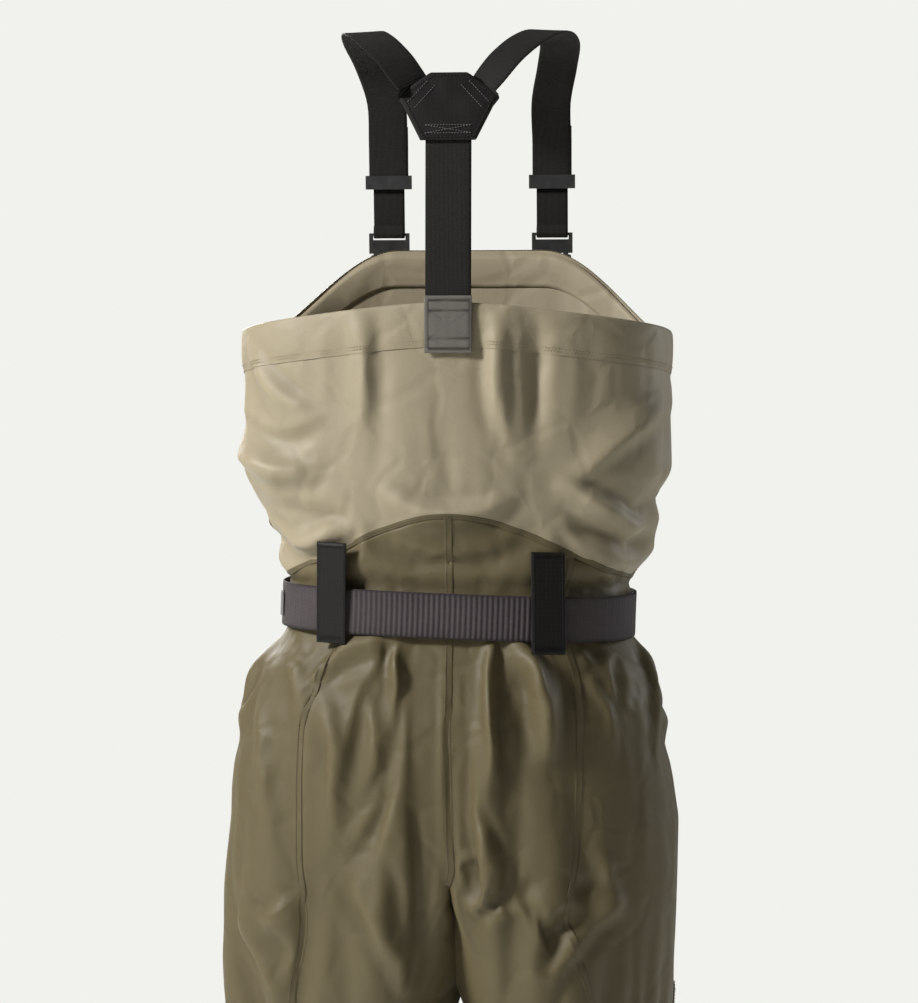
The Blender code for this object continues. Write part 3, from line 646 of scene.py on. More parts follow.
def finish_mesh(name, points, faces, material, uvs=None):
    """Smooth shaded object, with UVs in metres where the weave has a direction."""
    mesh = bpy.data.meshes.new(name)
    mesh.from_pydata([tuple(p) for p in points], [], faces)
    if uvs:
        layer = mesh.uv_layers.new(name="weave")
        flat = [value for face in uvs for corner in face for value in corner]
        layer.data.foreach_set("uv", flat)
    mesh.materials.append(material)
    mesh.shade_smooth()
    return linked(name, mesh)


def thicken(made, thickness):
    """Give a sheet its thickness, inwards from the face that shows."""
    solid = made.modifiers.new("thickness", "SOLIDIFY")
    solid.thickness = thickness
    solid.offset = -1.0


def subdivide(made):
    """Split each face of a sheet in four and round it."""
    smooth = made.modifiers.new("smooth", "SUBSURF")
    smooth.levels = 1
    smooth.render_levels = 1


def normals_of(points, faces):
    """Area-weighted normal at every point of a net."""
    co = np.array([tuple(p) for p in points])
    quads = np.array(faces)
    across = co[quads[:, 2]] - co[quads[:, 0]]
    along = co[quads[:, 3]] - co[quads[:, 1]]
    square = np.cross(across, along)
    total = np.zeros_like(co)
    for corner in range(4):
        np.add.at(total, quads[:, corner], square)
    length = np.linalg.norm(total, axis=1)
    length[length == 0] = 1
    return total / length[:, None]


def ring_loft(name, rings, material):
    """Solid through rings of equal size, with capped ends."""
    size = len(rings[0])
    points = [p for ring in rings for p in ring]
    faces = []
    for r in range(len(rings) - 1):
        here, there = r * size, (r + 1) * size
        for c in range(size):
            d = (c + 1) % size
            faces.append([here + c, here + d, there + d, there + c])
    faces.append(list(range(size))[::-1])
    faces.append([len(points) - size + c for c in range(size)])
    made = finish_mesh(name, points, faces, material)
    work = bmesh.new()
    work.from_mesh(made.data)
    bmesh.ops.recalc_face_normals(work, faces=work.faces)
    work.to_mesh(made.data)
    work.free()
    return made


def lengths_along(path):
    """Length of the path from its start to each of its points."""
    lengths = [0.0]
    for a, b in zip(path, path[1:]):
        lengths.append(lengths[-1] + (b - a).length)
    return lengths


def resampled(path, values, steps):
    """Values given at a path's points, read off at equal steps along the path."""
    lengths = lengths_along(path)
    out, span = [], 0
    for i in range(steps + 1):
        along = lengths[-1] * i / steps
        while span < len(path) - 2 and lengths[span + 1] < along:
            span += 1
        share = (along - lengths[span]) / max(lengths[span + 1] - lengths[span], 1e-9)
        out.append(values[span].lerp(values[span + 1], min(share, 1.0)))
    return out


def spaced(path, gap):
    """The same path with its points about gap apart."""
    return resampled(path, path, max(int(round(lengths_along(path)[-1] / gap)), 2))


def smooth_path(keys, per_span):
    """Points on a Catmull-Rom curve through the keys."""
    padded = [keys[0] * 2 - keys[1], *keys, keys[-1] * 2 - keys[-2]]
    path = []
    for i in range(1, len(padded) - 2):
        a, b, c, d = padded[i - 1:i + 3]
        for k in range(per_span):
            t = k / per_span
            path.append(0.5 * (2 * b + (c - a) * t + (2 * a - 5 * b + 4 * c - d) * t * t
                               + (3 * b - a - 3 * c + d) * t ** 3))
    return path + [keys[-1].copy()]


# ---------------------------------------------------------------- materials

def linear(red, green, blue):
    """Colour from 0 to 255 screen values."""
    return [(c / 255 / 12.92) if c <= 10 else ((c / 255 + 0.055) / 1.055) ** 2.4
            for c in (red, green, blue)] + [1.0]


class Shader:
    """A node material with a Principled surface, and short calls for the usual detail."""

    def __init__(self, name, colour, roughness, metallic=0.0):
        self.material = bpy.data.materials.new(name)
        self.material.use_nodes = True
        self.tree = self.material.node_tree
        self.surface = self.tree.nodes["Principled BSDF"]
        self.surface.inputs["Roughness"].default_value = roughness
        self.surface.inputs["Metallic"].default_value = metallic
        self.base = linear(*colour)
        self.colour = None
        self.height = None
        self.paint(self.base)

    def shade(self, factor, lift=0.0):
        """The base colour made lighter or darker."""
        return [min(value * factor + lift, 1) for value in self.base[:3]] + [1]

    def node(self, kind, **values):
        made = self.tree.nodes.new(kind)
        for key, value in values.items():
            if key in made.inputs:
                made.inputs[key].default_value = value
            else:
                setattr(made, key, value)
        return made

    def link(self, output, target):
        self.tree.links.new(output, target)

    def place(self, uses_uv=False, scale=(1, 1, 1), turn=0.0):
        source = self.node("ShaderNodeTexCoord")
        mapping = self.node("ShaderNodeMapping")
        mapping.inputs["Scale"].default_value = scale
        mapping.inputs["Rotation"].default_value = (0, 0, turn)
        self.link(source.outputs["UV" if uses_uv else "Object"], mapping.inputs["Vector"])
        return mapping.outputs["Vector"]

    def paint(self, colour):
        made = self.node("ShaderNodeRGB")
        made.outputs[0].default_value = colour
        self.colour = made.outputs[0]

    def mix(self, factor, colour, blend="MIX", amount=1.0):
        """Lays another colour over the present one where the factor is high."""
        mixer = self.node("ShaderNodeMix", data_type="RGBA", blend_type=blend)
        scaled = self.node("ShaderNodeMath", operation="MULTIPLY")
        scaled.inputs[1].default_value = amount
        self.link(factor, scaled.inputs[0])
        self.link(scaled.outputs[0], mixer.inputs["Factor"])
        self.link(self.colour, mixer.inputs[6])
        mixer.inputs[7].default_value = colour
        self.colour = mixer.outputs[2]

    def noise(self, scale, detail=3.0, low=0.35, high=0.65, where=None, roughness=0.5):
        texture = self.node("ShaderNodeTexNoise", Scale=scale, Detail=detail, Roughness=roughness)
        if where:
            self.link(where, texture.inputs["Vector"])
        else:
            self.link(self.place(), texture.inputs["Vector"])
        spread = self.node("ShaderNodeMapRange")
        spread.inputs["From Min"].default_value = low
        spread.inputs["From Max"].default_value = high
        self.link(texture.outputs["Fac"], spread.inputs["Value"])
        return spread.outputs["Result"]

    def creases(self, scale):
        """Thin crossing creases, as in cloth that has been folded and packed."""
        bend = self.node("ShaderNodeTexNoise", Scale=scale * 0.4, Detail=3.0)
        self.link(self.place(), bend.inputs["Vector"])
        shifted = self.node("ShaderNodeVectorMath", operation="MULTIPLY_ADD")
        self.link(bend.outputs["Color"], shifted.inputs[0])
        shifted.inputs[1].default_value = (0.08, 0.08, 0.08)
        self.link(self.place(), shifted.inputs[2])
        cells = self.node("ShaderNodeTexVoronoi", Scale=scale, feature="DISTANCE_TO_EDGE")
        self.link(shifted.outputs["Vector"], cells.inputs["Vector"])
        spread = self.node("ShaderNodeMapRange", interpolation_type="SMOOTHSTEP")
        spread.inputs["From Max"].default_value = 0.16
        self.link(cells.outputs["Distance"], spread.inputs["Value"])
        return spread.outputs["Result"]

    def stripes(self, pitch, direction, uses_uv, shape="SIN", turn=0.0):
        """Ridges a pitch apart, square to the X or Y direction of the weave. At scale 1,
        Blender's wave repeats 20 times in 2 pi metres."""
        texture = self.node("ShaderNodeTexWave", wave_type="BANDS", bands_direction=direction,
                            wave_profile=shape, Scale=2 * math.pi / (20 * pitch))
        self.link(self.place(uses_uv, turn=turn), texture.inputs["Vector"])
        return texture.outputs["Fac"]

    def combine(self, a, b, operation="MULTIPLY"):
        made = self.node("ShaderNodeMath", operation=operation)
        for value, slot in ((a, 0), (b, 1)):
            if isinstance(value, (int, float)):
                made.inputs[slot].default_value = value
            else:
                self.link(value, made.inputs[slot])
        return made.outputs[0]

    def bump(self, factor, distance, strength=1.0):
        made = self.node("ShaderNodeBump", Strength=strength, Distance=distance)
        self.link(factor, made.inputs["Height"])
        if self.height:
            self.link(self.height, made.inputs["Normal"])
        self.height = made.outputs["Normal"]

    def rough(self, factor, low, high):
        spread = self.node("ShaderNodeMapRange")
        spread.inputs["To Min"].default_value = low
        spread.inputs["To Max"].default_value = high
        self.link(factor, spread.inputs["Value"])
        self.link(spread.outputs["Result"], self.surface.inputs["Roughness"])

    def wear_and_ridge_highlight(self, colour, amount, sharp=0.53):
        """Lightens the ridges, where the mesh bends outwards: partly rubbed wear, partly painted
        highlight.
        """
        geometry = self.node("ShaderNodeNewGeometry")
        spread = self.node("ShaderNodeMapRange")
        spread.inputs["From Min"].default_value = 0.505
        spread.inputs["From Max"].default_value = sharp
        self.link(geometry.outputs["Pointiness"], spread.inputs["Value"])
        self.mix(spread.outputs["Result"], colour, amount=amount)

    def painted_groove_shade(self, colour, amount, deep=0.47):
        """Painted shade: darkens the hollows, where the mesh bends inwards."""
        geometry = self.node("ShaderNodeNewGeometry")
        spread = self.node("ShaderNodeMapRange")
        spread.inputs["From Min"].default_value = 0.497
        spread.inputs["From Max"].default_value = deep
        self.link(geometry.outputs["Pointiness"], spread.inputs["Value"])
        self.mix(spread.outputs["Result"], colour, amount=amount)

    def done(self):
        self.link(self.colour, self.surface.inputs["Base Color"])
        if self.height:
            self.link(self.height, self.surface.inputs["Normal"])
        return self.material


WEAVE_PITCH = 0.0011
RIPSTOP_PITCH = 0.0050


def shell_cloth(name, colour, roughness, sheen):
    """Waterproof nylon: plain weave, satin face, faint creasing, painted highlight and wear on ridges,
    painted shade in hollows.
    """
    cloth = Shader(name, colour, roughness)
    lighter, darker = cloth.shade(1.30), cloth.shade(0.72)
    cloth.mix(cloth.noise(5.0, 4.0), darker, amount=0.16)
    cloth.mix(cloth.noise(38.0, 5.0, 0.40, 0.75), lighter, amount=0.12)
    cloth.mix(cloth.noise(700.0, 2.0), darker, amount=0.14)
    # ridges of the folds lightened: part rubbed wear, part painted highlight
    cloth.wear_and_ridge_highlight(lighter, 0.30)
    warp = cloth.stripes(WEAVE_PITCH, "X", True)
    weft = cloth.stripes(WEAVE_PITCH, "Y", True)
    weave = cloth.combine(warp, weft)
    cloth.mix(weave, lighter, amount=0.10)
    cloth.bump(weave, 0.00012, 0.55)
    cloth.bump(cloth.noise(26.0, 6.0, 0.2, 0.8), 0.0030, 0.22)
    cloth.bump(cloth.creases(16.0), 0.0020, 0.30)
    # painted shade in the hollows of the folds
    cloth.painted_groove_shade(darker, 0.55, 0.46)
    cloth.rough(cloth.noise(24.0, 4.0), roughness - 0.06, roughness + 0.09)
    cloth.surface.inputs["Sheen Weight"].default_value = sheen
    cloth.surface.inputs["Sheen Roughness"].default_value = 0.45
    cloth.surface.inputs["Specular IOR Level"].default_value = 0.45
    return cloth.done()


WEBBING_CONTRAST = 0.35


def webbing_cloth(name, colour, pitch):
    """Woven tape: cross ribs with a lengthwise twill between them."""
    tape = Shader(name, colour, 0.78)
    lighter, darker = tape.shade(1.7, 0.001), tape.shade(0.45)
    ribs = tape.stripes(pitch, "X", True)
    twill = tape.stripes(pitch * 0.7, "Y", True)
    tape.mix(ribs, lighter, amount=WEBBING_CONTRAST)
    tape.mix(tape.combine(twill, ribs), darker, amount=WEBBING_CONTRAST * 0.8)
    tape.mix(tape.noise(18.0), darker, amount=0.25)
    tape.mix(tape.noise(900.0, 2.0, 0.45, 0.7), lighter, amount=0.22)
    tape.bump(ribs, 0.0003, 0.8)
    tape.bump(twill, 0.00015, 0.6)
    # ridges of the ribs lightened: part rubbed wear, part painted highlight
    tape.wear_and_ridge_highlight(lighter, 0.30, 0.58)
    # painted shade in the valleys between the ribs
    tape.painted_groove_shade(tape.shade(0.35), 0.75, 0.45)
    tape.surface.inputs["Specular IOR Level"].default_value = 0.25
    tape.surface.inputs["Sheen Weight"].default_value = 0.04
    tape.surface.inputs["Sheen Roughness"].default_value = 0.5
    return tape.done()


def ripstop_cloth(name, colour):
    """Coated nylon with a square grid of thicker threads."""
    cloth = Shader(name, colour, 0.55)
    lighter = cloth.shade(1.8, 0.002)
    lines = []
    for direction in ("X", "Y"):
        wave = cloth.stripes(RIPSTOP_PITCH, direction, True)
        lines.append(cloth.combine(wave, 0.93, "GREATER_THAN"))
    grid = cloth.combine(lines[0], lines[1], "MAXIMUM")
    cloth.mix(grid, lighter, amount=0.30)
    cloth.mix(cloth.noise(600.0, 2.0), lighter, amount=0.18)
    cloth.mix(cloth.noise(12.0, 4.0), lighter, amount=0.12)
    cloth.bump(grid, 0.0002, 0.7)
    cloth.bump(cloth.noise(900.0, 2.0), 0.0001, 0.5)
    # ridges lightened: part rubbed wear, part painted highlight
    cloth.wear_and_ridge_highlight(lighter, 0.4, 0.58)
    cloth.surface.inputs["Specular IOR Level"].default_value = 0.25
    cloth.surface.inputs["Sheen Weight"].default_value = 0.03
    return cloth.done()


PLASTIC_ROUGHNESS = 0.42


def moulded_plastic(name, colour):
    """Acetal: a fine spark-eroded grain, lighter along its edges."""
    plastic = Shader(name, colour, PLASTIC_ROUGHNESS)
    lighter = plastic.shade(2.4, 0.01)
    plastic.mix(plastic.noise(60.0, 5.0), lighter, amount=0.10)
    plastic.wear_and_ridge_highlight(lighter, 0.5, 0.60)
    plastic.bump(plastic.noise(1800.0, 3.0), 0.00008, 0.5)
    plastic.rough(plastic.noise(90.0, 4.0), PLASTIC_ROUGHNESS - 0.08, PLASTIC_ROUGHNESS + 0.14)
    return plastic.done()


def neoprene_cloth(name, colour):
    """Jersey-faced neoprene: fine knit cells over soft foam."""
    knit = Shader(name, colour, 0.85)
    lighter = knit.shade(1.7, 0.01)
    cells = knit.node("ShaderNodeTexVoronoi", Scale=900.0)
    knit.link(knit.place(scale=(1, 1, 0.6)), cells.inputs["Vector"])
    knit.mix(cells.outputs["Distance"], lighter, amount=0.35)
    knit.mix(knit.noise(9.0), lighter, amount=0.22)
    knit.bump(cells.outputs["Distance"], 0.00025, 0.7)
    knit.bump(knit.noise(30.0, 3.0), 0.0012, 0.35)
    knit.surface.inputs["Sheen Weight"].default_value = 0.4
    return knit.done()


def brushed_metal(name, colour):
    """Bent wire: fine grain with duller patches."""
    metal = Shader(name, colour, 0.34, 1.0)
    metal.mix(metal.noise(300.0, 3.0), metal.shade(0.6), amount=0.3)
    metal.bump(metal.noise(1500.0, 2.0), 0.00004, 0.5)
    metal.rough(metal.noise(120.0), 0.26, 0.48)
    return metal.done()


def sewing_thread(name, colour):
    """Twisted polyester thread."""
    thread = Shader(name, colour, 0.6)
    thread.mix(thread.noise(2500.0, 2.0), thread.shade(1.6, 0.01), amount=0.5)
    thread.bump(thread.noise(3000.0, 2.0), 0.0001, 0.6)
    return thread.done()


BIB_CLOTH = shell_cloth("bib_cloth", (163, 152, 128), 0.54, 0.12)
LEG_CLOTH = shell_cloth("leg_cloth", (101, 91, 64), 0.55, 0.05)
GUARD_CLOTH = shell_cloth("guard_cloth", (84, 78, 60), 0.52, 0.20)
BELT_CLOTH = webbing_cloth("belt_webbing", (78, 71, 74), 0.0015)
STRAP_CLOTH = webbing_cloth("strap_webbing", (33, 32, 31), 0.0014)
ANCHOR_CLOTH = webbing_cloth("anchor_webbing", (112, 109, 104), 0.0012)
LABEL_CLOTH = webbing_cloth("label_weave", (124, 124, 128), 0.0007)
YOKE_CLOTH = ripstop_cloth("yoke_ripstop", (21, 20, 20))
PLASTIC = moulded_plastic("buckle_plastic", (34, 34, 35))
NEOPRENE = neoprene_cloth("neoprene_jersey", (52, 53, 56))
METAL = brushed_metal("hook_steel", (168, 168, 172))
BIB_THREAD = sewing_thread("bib_thread", (140, 130, 108))
LEG_THREAD = sewing_thread("leg_thread", (78, 70, 52))
DARK_THREAD = sewing_thread("dark_thread", (26, 26, 27))
GREY_THREAD = sewing_thread("grey_thread", (98, 97, 96))

# ---------------------------------------------------------------- piece helpers

def piece(made, name, body):
    """Names a visual piece after the CAD node it stands for, and ties it to that node's body."""
    made.name = name + "_look"
    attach(made, body)
    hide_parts(name)
    return made


def trim(made, body):
    """A sewn or moulded detail that stands for no CAD node of its own."""
    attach(made, body)
    return made


def dress_node(name, material, bevel=0.0005):
    """Keeps the CAD node itself and gives it broken edges and a worked surface."""
    node = frame["nodes"][name]
    node.data.materials.clear()
    node.data.materials.append(material)
    if bevel:
        edge = node.modifiers.new("edge", "BEVEL")
        edge.width = bevel
        edge.segments = 2
        edge.limit_method = "ANGLE"
        edge.angle_limit = math.radians(35)
    return node


PLAIN_WEBBING_STEP = 0.004


def webbing(name, path, outwards, width, thickness, material, rib=0.0, pitch=0.0024, where=None,
            rings_per_rib=4):
    """Woven strap: rounded selvages and cross ribs that stand up by rib metres. The function
    where, if given, says how strong the ribs are at a point."""
    across_steps = (1.0, 0.97, 0.85, 0.45, 0.0, -0.45, -0.85, -0.97)
    lifts = (0.0, 0.85, 1.0, 0.9, 0.9, 0.9, 1.0, 0.85)
    fine = spaced(path, pitch / rings_per_rib if rib else PLAIN_WEBBING_STEP)
    count = len(fine)
    outs = resampled(path, outwards, len(fine) - 1)
    points, faces, uvs = [], [], []
    around = 2 * len(across_steps)
    along = 0.0
    for i, centre in enumerate(fine):
        if i:
            along += (centre - fine[i - 1]).length
        heading = (fine[min(i + 1, count - 1)] - fine[max(i - 1, 0)]).normalized()
        out = (outs[i] - heading * outs[i].dot(heading)).normalized()
        across = out.cross(heading)
        strength = rib * (where(centre) if where else 1.0)
        swell = strength * (0.5 + 0.5 * math.cos(2 * math.pi * along / pitch)) if rib else 0.0
        for face in (1, -1):
            for share, lift in zip(across_steps, lifts):
                reach = (thickness / 2 + (swell if abs(share) < 0.9 else swell * 0.3)) * lift
                points.append(centre + across * (face * share * width / 2) + out * (face * reach))
    for i in range(count - 1):
        for c in range(around):
            d = (c + 1) % around
            faces.append([i * around + c, (i + 1) * around + c, (i + 1) * around + d, i * around + d])
    faces.append([c for c in range(around)])
    faces.append([(count - 1) * around + c for c in reversed(range(around))])
    side_place = [s * width / 2 for s in across_steps] + [-s * width / 2 for s in across_steps]
    step = along / (count - 1)
    for face in faces:
        uvs.append([(side_place[v % around], (v // around) * step) for v in face])
    return finish_mesh(name, points, faces, material, uvs)


STITCH_SIDES = 5
STITCH_RINGS = (  # share along the stitch, radius and lift, as shares of the thread's radius
    (0.0, 0.4, -0.5), (0.18, 0.9, 0.3), (0.5, 1.0, 0.6), (0.82, 0.9, 0.3), (1.0, 0.4, -0.5))


def stitches(name, path, outs, material, length=0.0028, gap=0.0010, girth=0.00035):
    """A row of separate thread stitches that lie on a surface along a path."""
    fine = spaced(path, length + gap)
    normals = resampled(path, outs, len(fine) - 1)
    points, faces = [], []
    sides, last = STITCH_SIDES, len(STITCH_RINGS) - 1
    share = length / (length + gap)
    for i in range(len(fine) - 1):
        start = fine[i]
        end = fine[i].lerp(fine[i + 1], share)
        heading = (end - start).normalized()
        out = (normals[i] - heading * normals[i].dot(heading)).normalized()
        across = out.cross(heading)
        first = len(points)
        for t, radius, lift in STITCH_RINGS:
            centre = start.lerp(end, t) + out * (girth * lift)
            for s in range(sides):
                turn = 2 * math.pi * s / sides
                around = across * math.cos(turn) + out * math.sin(turn)
                points.append(centre + around * girth * radius)
        for ring in range(last):
            for s in range(sides):
                a = first + ring * sides + s
                b = first + ring * sides + (s + 1) % sides
                faces.append([a, a + sides, b + sides, b])
        faces.append([first + s for s in range(sides)])
        faces.append([first + last * sides + s for s in reversed(range(sides))])
    return finish_mesh(name, points, faces, material)


# Rings of a patch from its rim inwards: size, and height as a share of its thickness
PATCH_RINGS = [(1.0, 0.0), (1.0, 0.35), (0.992, 0.8), (0.975, 1.0)] + [
    (size, 1.0) for size in (0.93, 0.85, 0.75, 0.62, 0.48, 0.34, 0.2, 0.08)]


def patch(name, outline, origin, across, up, thickness, material, puff=0.0, crease=0.0,
          finest=0.003):
    """Soft flat piece: puffed towards its middle, a little creased, with rounded edges."""
    out = across.cross(up).normalized()
    corners = [Vector((x, y, 0)) for x, y in outline]
    rim = spaced([*corners, corners[0]], finest)[:-1]
    middle = sum(rim, Vector()) / len(rim)
    points, flats, faces = [], [], []
    for share, level in PATCH_RINGS:
        for spot in rim:
            flat = middle + (spot - middle) * share
            bulge = puff * (1 - share ** 5)
            wave = noise.noise(Vector((flat.x * 42, flat.y * 42, puff * 900)))
            ripple = crease * wave * (1 - share ** 8)
            lift = out * (thickness * level + bulge + ripple)
            points.append(origin + across * flat.x + up * flat.y + lift)
            flats.append(flat)
    size = len(rim)
    for r in range(len(PATCH_RINGS) - 1):
        for c in range(size):
            d = (c + 1) % size
            faces.append([r * size + c, r * size + d, (r + 1) * size + d, (r + 1) * size + c])
    last = (len(PATCH_RINGS) - 1) * size
    faces.append([last + c for c in range(size)])
    faces.append([c for c in reversed(range(size))])
    uvs = [[(flats[v].x, flats[v].y) for v in face] for face in faces]
    return finish_mesh(name, points, faces, material, uvs)


# ---------------------------------------------------------------- the garment's panels

NET = Net(36, 40, 62, 76, 24)
FOLDED = fold_cloth(NET, NET.points())
WORN = softened(NET, capped(NET, simulate_garment(NET, FOLDED)))
SETTLED = [Vector(p) for p in tucked(shaped_sides(WORN))]
NET_NORMALS = [Vector(n) for n in normals_of(SETTLED, NET.faces)]
CLOTH_TREE = BVHTree.FromPolygons(SETTLED, NET.faces)

# Average size of the net's faces, which scales the weave
ACROSS_STEP = 0.0082
DOWN_STEP = 0.0088
SHELL_PANELS = ("bib_front", "bib_back", "leg_front_left", "leg_front_right", "leg_back_left",
                "leg_back_right", "crotch_gusset")


def gusset_part(row, column):
    """True for the diamond of faces under the crotch, on the inner thighs."""
    if row < NET.crotch_row or column < NET.outer:
        return False
    reach = 1 - abs(NET.turn(column + 0.5) - 1.5) * 2.1
    return (row - NET.crotch_row) < 4.0 * max(reach, 0.0)


def panel_of(side, row, column):
    """Name of the sewn panel that a face of the net belongs to."""
    label = "left" if side > 0 else "right"
    turn = NET.turn(column + 0.5)
    if row < NET.bib_end:
        return "bib_back" if turn > 0.5 else "bib_front"
    if gusset_part(row, column):
        return "crotch_gusset"
    behind = REAR_SEAM < turn < 1.5
    return ("leg_back_" if behind else "leg_front_") + label


def make_panels():
    """Cut the welded net into the same panels as the CAD, in bib cloth or leg cloth."""
    chosen = {}
    for face, tag in zip(NET.faces, NET.tags):
        chosen.setdefault(panel_of(*tag[:3]), []).append((face, tag))
    for name, members in chosen.items():
        index, faces, uvs = {}, [], []
        for face, (side, _, _, corners) in members:
            faces.append([index.setdefault(v, len(index)) for v in face])
            uvs.append([(side * c * ACROSS_STEP, -r * DOWN_STEP) for r, c in corners])
        points = [SETTLED[v] for v in index]
        bib = name.startswith("bib")
        made = finish_mesh(name, points, faces, BIB_CLOTH if bib else LEG_CLOTH, uvs)
        subdivide(made)
        thicken(made, CLOTH)
        piece(made, name, "root")


def surface_of(names):
    """Search tree over the finished faces of some visual pieces."""
    points, faces = [], []
    graph = bpy.context.evaluated_depsgraph_get()
    for name in names:
        mesh = bpy.data.objects[name].evaluated_get(graph).to_mesh()
        first = len(points)
        points += [v.co.copy() for v in mesh.vertices]
        faces += [[first + v for v in face.vertices] for face in mesh.polygons]
    return BVHTree.FromPolygons(points, faces)


def laid_on(tree, path, outs, lift):
    """Moves a path to lie a little above the surface that is nearest to it."""
    moved = []
    for point, out in zip(path, outs):
        spot = tree.find_nearest(point + out * 0.002)[0]
        moved.append(spot + out * lift)
    return moved


def net_line(places, out=0.0):
    """Path and outward directions through places of the net, raised off the cloth."""
    found = [NET.vertex(*place) for place in places]
    outs = [NET_NORMALS[v] for v in found]
    return [SETTLED[v] + n * out for v, n in zip(found, outs)], outs


def beside(path, outs, shift):
    """The path moved sideways over the cloth."""
    moved = []
    for i, (point, out) in enumerate(zip(path, outs)):
        heading = (path[min(i + 1, len(path) - 1)] - path[max(i - 1, 0)]).normalized()
        moved.append(point + out.cross(heading) * shift)
    return moved


def sewn_seam(name, places, shifts, thread, cloth, width=0.0085):
    """Felled seam: a folded strip of cloth over the join, with rows of topstitching."""
    path, outs = net_line(places)
    path, outs = smooth_path(path, 2), smooth_path(outs, 2)
    middle = sum(shifts) / len(shifts)
    strip_path = laid_on(CLOTH_SURFACE, beside(path, outs, middle), outs, 0.0001)
    strip = webbing(name, strip_path, outs, width, 0.0010, cloth)
    trim(strip, "root")
    for i, shift in enumerate(shifts):
        line = laid_on(CLOTH_SURFACE, beside(path, outs, shift), outs, 0.0006)
        trim(stitches(f"{name}_thread_{i}", line, outs, thread, girth=0.0003), "root")


SEAM_ROWS = (-0.003, 0.003)


def make_seams():
    """Sewn seams down the sides, the rear, the inseams and the rises, and round the waist."""
    rear = round(REAR_SEAM * NET.outer)
    inner = NET.outer + (NET.around - NET.outer) // 2
    shell_rows = range(NET.bib_end, NET.last_row + 1)
    inner_rows = range(NET.crotch_row + 4, NET.last_row + 1)
    for label, side in SIDES:
        sewn_seam("rear_seam_" + label, [(side, row, rear) for row in shell_rows],
                  SEAM_ROWS, LEG_THREAD, LEG_CLOTH)
        sewn_seam("inseam_" + label, [(side, row, inner) for row in inner_rows],
                  SEAM_ROWS, LEG_THREAD, LEG_CLOTH)
        half = NET.outer // 2
        sewn_seam("side_seam_" + label, [(side, row, half) for row in range(0, NET.bib_end + 1)],
                  SEAM_ROWS, BIB_THREAD, BIB_CLOTH)
    for name, column in (("front_rise", 0), ("back_rise", NET.outer)):
        sewn_seam(name, [(0, row, column) for row in range(NET.bib_end, NET.crotch_row + 1)],
                  SEAM_ROWS, LEG_THREAD, LEG_CLOTH)
    sewn_seam("waist_seam", full_row(NET.bib_end), (0.002,), LEG_THREAD, LEG_CLOTH,
              0.006)


def full_row(row):
    """Places once round the torso: the left half from front to back, then the right."""
    left = [(1, row, c) for c in range(NET.outer + 1)]
    right = [(-1, row, c) for c in range(NET.outer, -1, -1)]
    return left + right[1:]


# ---------------------------------------------------------------- hem, facing and drawcord

def hem_line(drop, out):
    """Path round the bib a given drop below its edge, raised off the cloth."""
    path, outs = [], []
    for side, _, column in full_row(0)[:-1]:
        below = 0
        while True:
            here = NET.vertex(side, below, column)
            there = NET.vertex(side, below + 1, column)
            gap = NET.height(below, NET.turn(column)) - NET.height(below + 1, NET.turn(column))
            if drop <= gap * (below + 1):
                break
            below += 1
        share = drop / gap - below
        normal = NET_NORMALS[here].lerp(NET_NORMALS[there], share).normalized()
        path.append(SETTLED[here].lerp(SETTLED[there], share) + normal * out)
        outs.append(normal)
    return path, outs


def puckered(path, outs, drop):
    """Small gathers where the drawcord and the stitches draw the hem in."""
    moved = []
    for i, (point, out) in enumerate(zip(path, outs)):
        strength = 0.0005 + 0.0009 * eased(drop / HEM_DEPTH)
        wave = noise.noise(Vector((i * 0.55, drop * 20, 3.0)))
        moved.append(point + out * strength * abs(wave) * 1.6)
    return moved


def closed(line):
    return [*line, line[0]]


# Sections of the hem, as distances below its edge and off the cloth; of its edge, as
# distances above and behind the cloth's own; and of the facing inside it
HEM_OUTSIDE = [
    (HEM_DEPTH + 0.004, 0.0004), (HEM_DEPTH, 0.0008), (HEM_DEPTH - 0.003, 0.0016),
    (HEM_DEPTH * 0.65, 0.0026), (HEM_DEPTH * 0.3, 0.0024), (0.004, 0.0016), (0.0, 0.0008)]
HEM_EDGE = [(0.0012, 0.0006), (0.0008, 0.0020)]
HEM_INSIDE = [
    (0.003, -0.0046), (HEM_DEPTH * 0.4, -0.0062), (HEM_DEPTH * 0.8, -0.0050),
    (HEM_DEPTH, -0.0030)]
CORD_DROP = 0.012
CORD_DEPTH = -0.0034


def make_hem():
    """The bib's edge is turned down inside as a tunnel, with the cord running through it."""
    rings = [puckered(*hem_line(drop, out), drop) for drop, out in HEM_OUTSIDE]
    top, outs = hem_line(0.0, 0.0)
    for rise, back in HEM_EDGE:
        rings.append([p + UPWARD * rise - o * back for p, o in zip(top, outs)])
    trim(banded("hem_tunnel", rings, BIB_CLOTH), "root")
    inner = [hem_line(drop, out)[0] for drop, out in HEM_INSIDE]
    facing = banded("facing", inner, BIB_CLOTH)
    thicken(facing, 0.0010)
    piece(facing, "hem_facing", "root")
    for i, drop in enumerate((HEM_DEPTH, HEM_DEPTH - 0.003)):
        path, outs = hem_line(drop, 0.0017 if i else 0.0010)
        path, outs = smooth_path(closed(path), 2), smooth_path(closed(outs), 2)
        trim(stitches(f"hem_thread_{i}", path, outs, BIB_THREAD), "root")
    path, outs = hem_line(CORD_DROP, CORD_DEPTH)
    cord = webbing("cord", closed(path), closed(outs), 0.0026, 0.0024, STRAP_CLOTH)
    piece(cord, "hem_drawcord", "root")


